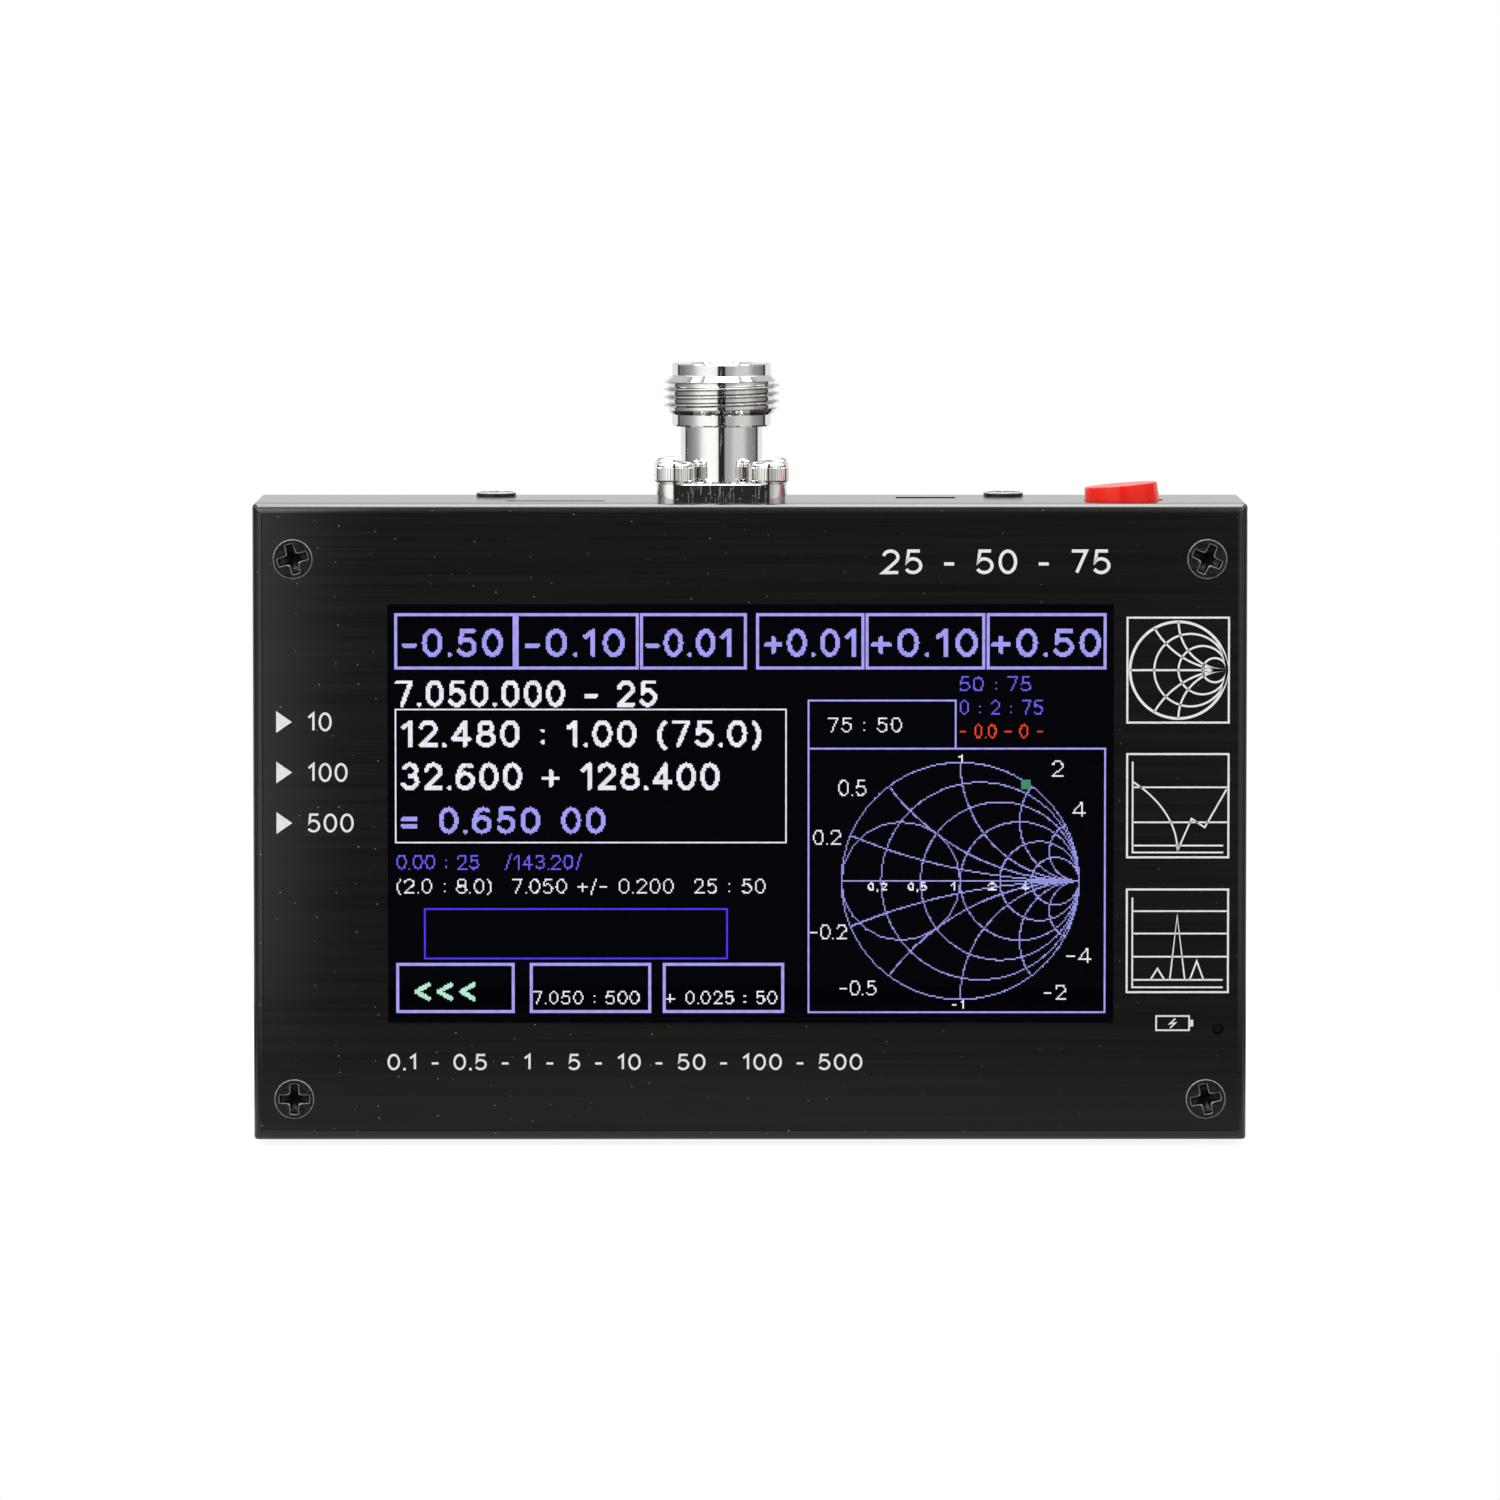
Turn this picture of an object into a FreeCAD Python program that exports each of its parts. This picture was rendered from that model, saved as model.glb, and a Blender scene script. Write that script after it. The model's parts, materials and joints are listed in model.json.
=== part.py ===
import FreeCAD, Part

import math
import os

from FreeCAD import Vector

# Hand-held antenna analyzer. Millimetres, +Z up towards the coaxial jack, the display faces -Y.
# The origin is under the middle of the case, level with the heads of the bottom cover screws.
# "depth" is measured from the outside of the face towards the back, "height" from the bottom wall up.

# Case: a folded sheet tray, open at the back, and a flat cover with four folded tabs
case_width = 132.5
case_height = 85.0
case_depth = 28.0
sheet = 1.2
inside_bend = 0.15
corner_radius = 0.45
seam = 0.15
relief_radius = 0.4
cover_gap = 0.15
tab_width = 16.0
tab_length = 7.0
tab_gap = 0.1
tab_relief = 0.8
collar_wall = 0.65
collar_depth = 1.4

# Fasteners
m3_radius = 1.45
m3_tapped_radius = 1.5
m3_clear_radius = 1.7
m3_nut_flats = 5.5
m3_nut_height = 2.4
countersunk_head_radius = 2.7
countersink_gap = 0.05
pan_head_radius = 2.7
pan_head_height = 0.8
pan_head_rim = 0.35
pan_head_flat_radius = 1.3
cover_screw_length = 5.0
cover_screw_x = 34.3
cover_screw_inset = 3.8
face_screw_length = 4.0
face_screw_inset_x = 5.4
face_screw_inset_top = 7.3
face_screw_inset_bottom = 5.5
board_screw_length = 4.0
board_screw_head_height = 2.0
m2_radius = 0.95
m2_tapped_radius = 1.0
m2_clear_radius = 1.1

# Display: glass, module, gasket and tape pads, stacked behind the face
window_width = 96.8
window_height = 56.0
window_x = 0.1
window_centre_height = 43.7
window_corner = 0.3
gasket_thickness = 0.5
gasket_margin = 1.0
glass_width = 105.4
glass_height = 67.2
glass_thickness = 1.4
module_width = 105.0
module_height = 66.8
module_thickness = 2.9
module_corner = 0.8
pad_width = 8.0
pad_height = 50.0
pad_spacing = 68.0
flex_width = 32.0
flex_thickness = 0.2
flex_overlap = 3.5
flex_socket_wall = 3.0
flex_socket_height = 2.0
flex_socket_length = 5.0
flex_socket_inset = 1.2
flex_gap = 0.05

# Main board on four standoffs behind the face
standoff_length = 6.0
standoff_flats = 5.5
board_thickness = 1.6
board_side_gap = 0.95
board_bottom_gap = 1.0
board_top_gap = 2.6
board_corner = 1.0
processor_side = 14.0
processor_height = 1.2
chip_row_height = 24.0
chip_spacing = 17.0
memory_chip_width = 8.0
memory_chip_height = 11.2

# Charge lamp behind its hole in the face
lamp_hole_radius = 0.75
lamp_inset_x = 3.8
lamp_height = 14.9
lamp_radius = 0.9
lamp_length = 3.0
lamp_shoulder = 0.4
lamp_base_radius = 1.2
lamp_base_length = 0.8
lamp_gap = 0.2
lamp_lead = 0.4
lamp_lead_spacing = 1.0

# Coaxial jack, 50 ohm, 5/8-24 thread, on a square four-hole flange
jack_x = -3.8
jack_depth = 17.0
flange_side = 17.5
flange_corner = 2.4
flange_thickness = 2.3
flange_hole_spacing = 12.7
jack_neck_radius = 5.5
jack_neck_length = 7.5
jack_collar_radius = 6.65
jack_rear_collar = 1.56
flange_overlap = 0.5
jack_thread_radius = 7.9
jack_thread_length = 5.5
jack_thread_chamfer = 0.35
jack_front_collar = 1.37
jack_rim_chamfer = 0.3
jack_bore_radius = 4.05
jack_bore_depth = 9.1
jack_line_radius = 3.5
contact_radius = 1.52
contact_reach = 5.0
contact_bore_radius = 0.85
contact_bore_depth = 6.0
contact_slot_width = 0.3
contact_slot_depth = 4.6
contact_tail_radius = 0.75
contact_tail_length = 5.3
insulator_tail = 0.2
bead_gap = 0.02
jack_hole_gap = 0.5
cap_screw_head_radius = 2.75
cap_screw_head_height = 3.0
cap_screw_edge = 0.3
cap_screw_socket_flats = 2.5
cap_screw_socket_depth = 1.5
cap_screw_length = 6.0

# Radio board behind the main board, on two header strips, with a shield can
radio_width = 52.0
radio_height = 38.0
header_pins = 8
header_pitch = 2.54
header_spacing = 42.0
header_bottom = 2.8
header_width = 2.5
header_strip_height = 2.5
header_pin = 0.64
header_pin_gap = 0.05
header_pin_stop = 0.95
header_pin_tail = 0.7
header_hole = 0.9
can_width = 34.0
can_height = 27.0
can_depth = 4.0
can_wall = 0.3
can_drop = 7.0
radio_chip_side = 5.0
radio_chip_height = 1.0
radio_chip_spacing = 9.0

# Memory card and its socket on the rear of the main board
card_x = -26.0
card_width = 11.0
card_length = 15.0
card_thickness = 0.7
card_corner = 1.0
card_ridge = 0.3
card_ridge_length = 1.2
card_below_top = 0.7
card_above_board = 1.05
card_gap = 0.08
card_stop_gap = 0.4
card_slit_width = 13.1
card_slit_opening = 2.0
socket_width = 14.0
socket_depth = 1.85
socket_mouth_drop = 3.3
socket_back_wall = 0.8

# Charger board on the back cover, with the charging socket
charger_x = 23.7
charger_width = 20.0
charger_height = 28.0
charger_thickness = 1.2
charger_standoff_length = 5.0
charger_standoff_flats = 4.0
charger_hole_inset_x = 2.6
charger_hole_inset_bottom = 3.0
charger_hole_inset_top = 5.5
charger_screw_head_radius = 1.9
charger_screw_head_height = 1.3
charger_screw_length = 4.0
charger_chip_width = 5.0
charger_chip_height = 1.5
coil_side = 6.0
coil_height = 3.0
coil_corner = 1.5
charger_chip_level = 14.0
usb_width = 7.5
usb_depth = 2.6
usb_length = 5.6
usb_wall = 0.3
usb_recess = 0.4
usb_tongue_width = 3.8
usb_tongue_thickness = 0.6
usb_tongue_length = 4.2
usb_slit_width = 8.0
usb_slit_opening = 4.0

# Rocker switch under the top wall, its foot on the main board
rocker_inset_x = 16.1
rocker_setback = 8.0
rocker_radius = 5.0
rocker_tilt = 4.8
rocker_stand = 2.1
rocker_taper = 0.1
rocker_dish = 0.15
rocker_edge = 0.3
rocker_skirt = 3.2
trunnion_end_gap = 0.2
rocker_gap = 0.15
pivot_drop = 2.5
pivot_radius = 0.7
pivot_gap = 0.05
housing_wall = 0.95
housing_top_gap = 0.2
housing_length = 11.6
housing_floor_gap = 0.5
foot_width = 12.0
foot_thickness = 2.4
foot_length = 8.0
foot_peg_radius = 0.8
foot_peg_spacing = 8.0
foot_peg_gap = 0.05
terminal_width = 0.8
terminal_thickness = 0.4
terminal_spacing = 3.0
terminal_below_foot = 2.0
terminal_tail = 0.6
terminal_gap = 0.12
notch_gap = 0.6

# Battery on the back cover, and the leads
battery_width = 70.0
battery_height = 34.0
battery_thickness = 9.0
battery_corner = 2.0
battery_x = -3.0
battery_rise = 1.5
battery_tape = 0.5
tape_margin = 4.0
battery_lead_width = 3.2
battery_lead_thickness = 1.2
lead_straight = 0.3
lead_bend = 1.5
plug_width = 5.0
plug_depth = 3.0
plug_length = 6.0
plug_entry = 3.0
plug_gap = 0.05
plug_socket_wall = 0.5
power_lead_width = 4.2
power_lead_thickness = 1.0
power_lead_x = 40.0
power_lead_inset = 2.0
power_lead_level = 5.6

# Worked out from the sizes above
base_z = pan_head_height
top_z = base_z + case_height
front_y = -case_depth / 2
inner_half_width = case_width / 2 - sheet
inner_top_z = top_z - sheet
inner_bottom_z = base_z + sheet
outside_bend = sheet + inside_bend
glass_front = sheet + gasket_thickness
module_front = glass_front + glass_thickness
module_back = module_front + module_thickness
board_front = sheet + standoff_length
board_back = board_front + board_thickness
board_half_width = inner_half_width - board_side_gap
board_bottom_z = inner_bottom_z + board_bottom_gap
board_top_z = inner_top_z - board_top_gap
display_z = base_z + window_centre_height
lamp_x = case_width / 2 - lamp_inset_x
lamp_z = base_z + lamp_height
face_screw_x = case_width / 2 - face_screw_inset_x
face_screw_levels = (base_z + face_screw_inset_bottom, top_z - face_screw_inset_top)
cover_screw_depth = case_depth - cover_screw_inset
cover_front = case_depth - sheet
flange_top_z = top_z + flange_thickness
neck_top_z = flange_top_z + jack_neck_length
thread_bottom_z = neck_top_z + jack_rear_collar
thread_top_z = thread_bottom_z + jack_thread_length
jack_mouth_z = thread_top_z + jack_front_collar
jack_seat_z = jack_mouth_z - jack_bore_depth
radio_back = jack_depth - contact_tail_radius
radio_front = radio_back - board_thickness
radio_bottom_z = board_top_z - radio_height
header_length = header_pins * header_pitch
header_bottom_z = radio_bottom_z + header_bottom
strip_front = radio_front - header_strip_height
header_pin_entry = strip_front - board_back - header_pin_stop
card_centre_depth = board_back + card_above_board
card_top_z = top_z - card_below_top
charger_back = cover_front - charger_standoff_length
charger_front = charger_back - charger_thickness
charger_bottom_z = board_top_z - charger_height
usb_centre_depth = charger_front - usb_depth / 2
usb_top_z = top_z - usb_recess
rocker_x = case_width / 2 - rocker_inset_x
rocker_depth = rocker_setback + rocker_radius
tilt = math.radians(rocker_tilt)
pivot_z = top_z - pivot_drop
rocker_hole_radius = rocker_radius + pivot_drop * math.sin(tilt) + rocker_gap
housing_bore_radius = rocker_radius + rocker_skirt * math.sin(tilt) + rocker_gap
housing_radius = housing_bore_radius + housing_wall
housing_top_z = inner_top_z - housing_top_gap
housing_bottom_z = housing_top_z - housing_length
housing_floor_z = pivot_z - rocker_skirt - rocker_radius * math.sin(tilt) - housing_floor_gap
foot_bottom_z = housing_bottom_z - foot_length
peg_z = foot_bottom_z + foot_length / 2
terminal_z = foot_bottom_z - terminal_below_foot
battery_back = cover_front - battery_tape
battery_front = battery_back - battery_thickness
battery_bottom_z = base_z + cover_screw_length + battery_rise
battery_top_z = battery_bottom_z + battery_height
plug_top_z = charger_bottom_z + plug_entry
plug_bottom_z = plug_top_z - plug_length
plug_centre_depth = charger_front - plug_socket_wall - plug_gap - plug_depth / 2


def at(depth):
    """The Y coordinate at a depth behind the face."""
    return front_y + depth


def box(left, right, near, far, bottom, top):
    """A block between two X, two depths and two Z."""
    return Part.makeBox(right - left, far - near, top - bottom, Vector(left, at(near), bottom))


def block(x, half_width, near, far, bottom, top):
    """A block centred on an X."""
    return box(x - half_width, x + half_width, near, far, bottom, top)


def along_y(x, z, radius, near, far):
    """A cylinder pointing front to back."""
    return Part.makeCylinder(radius, far - near, Vector(x, at(near), z), Vector(0, 1, 0))


def upright(x, depth, radius, bottom, top):
    """A vertical cylinder."""
    return Part.makeCylinder(radius, top - bottom, Vector(x, at(depth), bottom), Vector(0, 0, 1))


def hexagon(flats):
    """A hexagonal face around the origin in the XY plane."""
    corner = flats / math.sqrt(3)
    turns = [math.radians(60 * i + 30) for i in range(7)]
    corners = [Vector(corner * math.cos(turn), corner * math.sin(turn), 0) for turn in turns]
    return Part.Face(Part.makePolygon(corners))


def hex_prism(flats, length):
    """A hexagonal bar standing on the origin."""
    return hexagon(flats).extrude(Vector(0, 0, length))


def facing_back(shape, x, depth, z):
    """Turns a shape that stands on the XY plane so that it points to the back, and moves it into place."""
    turned = shape.copy()
    turned.rotate(Vector(0, 0, 0), Vector(1, 0, 0), -90)
    turned.translate(Vector(x, at(depth), z))
    return turned


def rounded_plate(x, z, width, height, near, far, radius):
    """A plate parallel to the face with its four corners rounded."""
    plate = block(x, width / 2, near, far, z - height / 2, z + height / 2)
    corners = [e for e in plate.Edges if abs(e.tangentAt(e.FirstParameter).y) > 0.99]
    return plate.makeFillet(radius, corners)


def turned_part(outline, centre):
    """A body of revolution about a vertical line, from an outline of (radius, height) points."""
    points = [Vector(radius, 0, height) for radius, height in outline]
    face = Part.Face(Part.makePolygon(points + [points[0]]))
    body = face.revolve(Vector(0, 0, 0), Vector(0, 0, 1), 360)
    body.translate(centre)
    return body


def four_corners(half_x, levels):
    """The four (x, z) places of a fastener pattern."""
    return [(side * half_x, z) for z in levels for side in (-1, 1)]


def jack_screw_places():
    half = flange_hole_spacing / 2
    return [(jack_x + i * half, jack_depth + j * half) for i in (-1, 1) for j in (-1, 1)]


def window_cut():
    return rounded_plate(window_x, display_z, window_width, window_height, -1, sheet + 1, window_corner)


def countersink(x, z):
    mouth = countersunk_head_radius + countersink_gap
    depth = mouth - m3_clear_radius
    cone = Part.makeCone(mouth, m3_clear_radius, depth, Vector(x, at(0), z), Vector(0, 1, 0))
    return cone.fuse(along_y(x, z, m3_clear_radius, -1, sheet + 1))


def corner_seams():
    """The open seam beside each corner, between a side wall and the wall that laps it."""
    cuts = []
    for side in (-1, 1):
        inner = side * inner_half_width
        outer = side * (case_width / 2 + 1)
        for bottom in (inner_bottom_z, inner_top_z - seam):
            low, high = sorted((inner, outer))
            cuts.append(box(low, high, outside_bend, case_depth + 1, bottom, bottom + seam))
            start = Vector(low, at(outside_bend), bottom + seam / 2)
            cuts.append(Part.makeCylinder(relief_radius, high - low, start, Vector(1, 0, 0)))
    return cuts


def top_openings():
    """What is cut through the top wall."""
    low = inner_top_z - 1
    high = top_z + 1
    cuts = [
        upright(jack_x, jack_depth, jack_line_radius + jack_hole_gap, low, high),
        upright(rocker_x, rocker_depth, rocker_hole_radius, low, high),
    ]
    cuts += [upright(x, depth, m3_clear_radius, low, high) for x, depth in jack_screw_places()]
    slits = (
        (card_x, card_centre_depth, card_slit_width, card_slit_opening),
        (charger_x, usb_centre_depth, usb_slit_width, usb_slit_opening),
    )
    for x, depth, width, opening in slits:
        cuts.append(block(x, width / 2, depth - opening / 2, depth + opening / 2, low, high))
    return cuts


def folded_tray():
    """The sheet tray: a face and four walls, with the folds rounded outside and inside."""
    outer = box(-case_width / 2, case_width / 2, 0, case_depth, base_z, top_z)
    corners = [e for e in outer.Edges if abs(e.tangentAt(e.FirstParameter).y) > 0.99]
    outer = outer.makeFillet(corner_radius, corners)
    folds = [e for e in outer.Edges if e.BoundBox.YMax < front_y + 0.001]
    outer = outer.makeFillet(outside_bend, folds)
    inner = box(-inner_half_width, inner_half_width, sheet, case_depth + 1, inner_bottom_z, inner_top_z)
    folds = [e for e in inner.Edges if e.BoundBox.YMax < at(sheet) + 0.001]
    inner = inner.makeFillet(inside_bend, folds)
    return outer.cut(inner)


def front_shell():
    shell = folded_tray()
    cuts = [window_cut(), along_y(lamp_x, lamp_z, lamp_hole_radius, -1, sheet + 1)]
    cuts += [countersink(x, z) for x, z in four_corners(face_screw_x, face_screw_levels)]
    for x in (-cover_screw_x, cover_screw_x):
        cuts.append(upright(x, cover_screw_depth, m3_clear_radius, base_z - 1, inner_bottom_z + 1))
        cuts.append(upright(x, cover_screw_depth, m3_clear_radius, inner_top_z - 1, top_z + 1))
    return shell.cut(cuts + top_openings() + corner_seams())


def fold_profile(near, back, wall):
    """The side view of a tab folded forward from a plate: the wall level is its outer face."""
    bend = outside_bend * math.sqrt(0.5)
    inner = inside_bend * math.sqrt(0.5)
    centre_depth = back - outside_bend
    centre_z = wall - outside_bend
    leg_z = centre_z - sheet

    def point(depth, z):
        return Vector(0, at(depth), z)

    edges = [
        Part.makeLine(point(near, wall), point(centre_depth, wall)),
        Part.Arc(
            point(centre_depth, wall), point(centre_depth + bend, centre_z + bend), point(back, centre_z)
        ).toShape(),
        Part.makeLine(point(back, centre_z), point(back, leg_z)),
        Part.makeLine(point(back, leg_z), point(back - sheet, leg_z)),
        Part.makeLine(point(back - sheet, leg_z), point(back - sheet, centre_z)),
        Part.Arc(
            point(back - sheet, centre_z),
            point(centre_depth + inner, centre_z + inner),
            point(centre_depth, wall - sheet),
        ).toShape(),
        Part.makeLine(point(centre_depth, wall - sheet), point(near, wall - sheet)),
        Part.makeLine(point(near, wall - sheet), point(near, wall)),
    ]
    return Part.Face(Part.Wire(edges))


def cover_tab(x, upper):
    """A tab folded forward from the cover, with its tapped collar."""
    wall = inner_top_z - tab_gap
    side = fold_profile(case_depth - tab_length, case_depth, wall)
    tab = side.extrude(Vector(tab_width, 0, 0)).translated(Vector(x - tab_width / 2, 0, 0))
    collar_bottom = wall - sheet - collar_depth
    tab = tab.fuse(upright(x, cover_screw_depth, m3_tapped_radius + collar_wall, collar_bottom, wall))
    tab = tab.cut(upright(x, cover_screw_depth, m3_tapped_radius, collar_bottom - 1, wall + 1))
    if upper:
        return tab
    return tab.mirror(Vector(0, 0, (inner_bottom_z + inner_top_z) / 2), Vector(0, 0, 1))


def back_cover():
    """A flat cover inside the tray's walls. A notch on each side of a tab frees its fold."""
    half = inner_half_width - cover_gap
    middle_z = (inner_bottom_z + inner_top_z) / 2
    height = inner_top_z - inner_bottom_z - 2 * tab_gap
    plate = rounded_plate(0, middle_z, 2 * half, height, cover_front, case_depth, corner_radius)
    notches = []
    for x in (-cover_screw_x, cover_screw_x):
        for edge in (middle_z - height / 2, middle_z + height / 2):
            low, high = edge - outside_bend, edge + outside_bend
            notches.append(block(x, tab_width / 2 + tab_relief, cover_front - 1, case_depth + 1, low, high))
    tabs = [cover_tab(x, upper) for x in (-cover_screw_x, cover_screw_x) for upper in (True, False)]
    return plate.cut(notches).fuse(tabs).removeSplitter()


def countersunk_screw(length):
    """A countersunk screw lying along +Y from the origin, its flat head level with Y = 0."""
    outline = [
        (0, 0),
        (countersunk_head_radius, 0),
        (m3_radius, countersunk_head_radius - m3_radius),
        (m3_radius, length),
        (0, length),
    ]
    return turned_part(outline, Vector(0, 0, 0))


def pan_screw(length):
    """A screw pointing down from the origin, with a low coned head on top."""
    outline = [
        (0, -length),
        (m3_radius, -length),
        (m3_radius, 0),
        (pan_head_radius, 0),
        (pan_head_radius, pan_head_rim),
        (pan_head_flat_radius, pan_head_height),
        (0, pan_head_height),
    ]
    return turned_part(outline, Vector(0, 0, 0))


def cheese_screw(shaft_radius, head_radius, head_height, length):
    """A screw pointing down from the origin, with a plain round head."""
    head = Part.makeCylinder(head_radius, head_height)
    return head.fuse(Part.makeCylinder(shaft_radius, length, Vector(0, 0, -length)))


def face_screws():
    screw = countersunk_screw(face_screw_length)
    return [facing_back(screw, x, 0, z) for x, z in four_corners(face_screw_x, face_screw_levels)]


def cover_screws():
    down = pan_screw(cover_screw_length)
    up = down.mirror(Vector(0, 0, 0), Vector(0, 0, 1))
    placed = []
    for x in (-cover_screw_x, cover_screw_x):
        placed.append(down.translated(Vector(x, at(cover_screw_depth), top_z)))
        placed.append(up.translated(Vector(x, at(cover_screw_depth), base_z)))
    return placed


def tapped_standoff(flats, length, radius):
    """A hexagonal standoff on the origin, tapped through."""
    return hex_prism(flats, length).cut(Part.makeCylinder(radius, length))


def face_standoffs():
    standoff = tapped_standoff(standoff_flats, standoff_length, m3_tapped_radius)
    return [facing_back(standoff, x, sheet, z) for x, z in four_corners(face_screw_x, face_screw_levels)]


def board_screws():
    screw = cheese_screw(m3_radius, pan_head_radius, board_screw_head_height, board_screw_length)
    places = four_corners(face_screw_x, face_screw_levels)
    return [facing_back(screw, x, board_back, z) for x, z in places]


def display_plate(width, height, near, far, radius=module_corner):
    """A plate of the display's stack, centred behind the window."""
    return rounded_plate(window_x, display_z, width, height, near, far, radius)


def display_gasket():
    margin = 2 * gasket_margin
    frame = display_plate(glass_width - margin, glass_height - margin, sheet, glass_front)
    width = window_width + margin
    height = window_height + margin
    return frame.cut(display_plate(width, height, sheet - 1, glass_front + 1, window_corner))


def touch_panel():
    return display_plate(glass_width, glass_height, glass_front, module_front)


def lcd_panel():
    return display_plate(module_width, module_height, module_front, module_back)


def display_pads():
    low = display_z - pad_height / 2
    high = display_z + pad_height / 2
    places = (window_x - pad_spacing / 2, window_x + pad_spacing / 2)
    return [block(x, pad_width / 2, module_back, board_front, low, high) for x in places]


def flex_socket_top():
    return board_bottom_z + flex_socket_inset + flex_socket_length


def display_flex():
    module_bottom = display_z - module_height / 2
    low = flex_socket_top() - flex_socket_length + 1
    high = module_bottom + flex_overlap
    return block(window_x, flex_width / 2, module_back, module_back + flex_thickness, low, high)


def flex_socket():
    top = flex_socket_top()
    low = top - flex_socket_length
    half = flex_width / 2 + flex_socket_wall
    body = block(window_x, half, board_front - flex_socket_height, board_front, low, top)
    near = module_back - flex_gap
    far = module_back + flex_thickness + flex_gap
    slot = block(window_x, flex_width / 2 + flex_gap, near, far, low + 1 - flex_gap, top + 1)
    return body.cut(slot)


def terminal_places():
    return (rocker_x - terminal_spacing / 2, rocker_x + terminal_spacing / 2)


def peg_places():
    return (rocker_x - foot_peg_spacing / 2, rocker_x + foot_peg_spacing / 2)


def main_board():
    width = 2 * board_half_width
    height = board_top_z - board_bottom_z
    middle = board_bottom_z + height / 2
    board = rounded_plate(0, middle, width, height, board_front, board_back, board_corner)
    near = board_front - 1
    far = board_back + 1
    notch_half = housing_radius + notch_gap
    cuts = [block(rocker_x, notch_half, near, far, housing_bottom_z - notch_gap, top_z)]
    reach = terminal_width / 2 + terminal_gap
    cuts += [block(x, reach, near, far, terminal_z - reach, terminal_z + reach) for x in terminal_places()]
    holes = [(x, z, m3_clear_radius) for x, z in four_corners(face_screw_x, face_screw_levels)]
    holes += [(x, peg_z, foot_peg_radius + foot_peg_gap) for x in peg_places()]
    return board.cut(cuts + [along_y(x, z, radius, near, far) for x, z, radius in holes])


def main_board_chips():
    z = base_z + chip_row_height
    half = processor_side / 2
    far = board_back + processor_height
    chips = [block(0, half, board_back, far, z - half, z + half)]
    half = memory_chip_height / 2
    for x in (-chip_spacing, chip_spacing):
        chips.append(block(x, memory_chip_width / 2, board_back, far, z - half, z + half))
    return chips


def charge_lamp():
    """A round lamp with a coned tip and a collar, lying along Y, with two leads into the main board."""
    tip_radius = lamp_radius - lamp_shoulder
    outline = [
        (0, 0),
        (tip_radius, 0),
        (lamp_radius, lamp_shoulder),
        (lamp_radius, lamp_length),
        (lamp_base_radius, lamp_length),
        (lamp_base_radius, lamp_length + lamp_base_length),
        (0, lamp_length + lamp_base_length),
    ]
    tip = sheet + lamp_gap
    lamp = facing_back(turned_part(outline, Vector(0, 0, 0)), lamp_x, tip, lamp_z)
    half = lamp_lead / 2
    for x in (lamp_x - lamp_lead_spacing / 2, lamp_x + lamp_lead_spacing / 2):
        lamp = lamp.fuse(block(x, half, tip + lamp_length, board_front, lamp_z - half, lamp_z + half))
    return lamp.removeSplitter()


def jack_body():
    """Square flange, neck, two collars and the thread, bored for the line and the mating sleeve."""
    half = flange_side / 2
    flange = block(jack_x, half, jack_depth - half, jack_depth + half, top_z, flange_top_z)
    corners = [e for e in flange.Edges if abs(e.tangentAt(e.FirstParameter).z) > 0.99]
    flange = flange.makeFillet(flange_corner, corners)
    outline = [
        (0, flange_top_z - flange_overlap),
        (jack_neck_radius, flange_top_z - flange_overlap),
        (jack_neck_radius, neck_top_z),
        (jack_collar_radius - jack_rim_chamfer, neck_top_z),
        (jack_collar_radius, neck_top_z + jack_rim_chamfer),
        (jack_collar_radius, thread_bottom_z),
        (jack_thread_radius - jack_thread_chamfer, thread_bottom_z),
        (jack_thread_radius, thread_bottom_z + jack_thread_chamfer),
        (jack_thread_radius, thread_top_z - jack_thread_chamfer),
        (jack_thread_radius - jack_thread_chamfer, thread_top_z),
        (jack_collar_radius, thread_top_z),
        (jack_collar_radius, jack_mouth_z - jack_rim_chamfer),
        (jack_collar_radius - jack_rim_chamfer, jack_mouth_z),
        (0, jack_mouth_z),
    ]
    centre = Vector(jack_x, at(jack_depth), 0)
    body = flange.fuse(turned_part(outline, centre))
    bore = [
        (0, top_z - 1),
        (jack_line_radius, top_z - 1),
        (jack_line_radius, jack_seat_z),
        (jack_bore_radius, jack_seat_z),
        (jack_bore_radius, jack_mouth_z + 1),
        (0, jack_mouth_z + 1),
    ]
    body = body.cut(turned_part(bore, centre))
    low = top_z - 1
    high = flange_top_z + 1
    return body.cut([upright(x, depth, m3_clear_radius, low, high) for x, depth in jack_screw_places()])


def jack_insulator():
    """The white bead that holds the contact in the jack's line and insulates it from the case."""
    low = inner_top_z - insulator_tail
    bead = upright(jack_x, jack_depth, jack_line_radius - bead_gap, low, jack_seat_z)
    return bead.cut(upright(jack_x, jack_depth, contact_radius + bead_gap, low - 1, jack_seat_z + 1))


def jack_contact():
    """The slotted socket for the mating pin, in one piece with the tail that the radio board takes."""
    low = inner_top_z - insulator_tail
    tip = jack_seat_z + contact_reach
    body = upright(jack_x, jack_depth, contact_radius, low, tip)
    body = body.fuse(upright(jack_x, jack_depth, contact_tail_radius, low - contact_tail_length, low + 1))
    cuts = [upright(jack_x, jack_depth, contact_bore_radius, tip - contact_bore_depth, tip + 1)]
    half = contact_slot_width / 2
    reach = contact_radius + 1
    low = tip - contact_slot_depth
    cuts.append(box(jack_x - reach, jack_x + reach, jack_depth - half, jack_depth + half, low, tip + 1))
    cuts.append(box(jack_x - half, jack_x + half, jack_depth - reach, jack_depth + reach, low, tip + 1))
    return body.cut(cuts)


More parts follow.
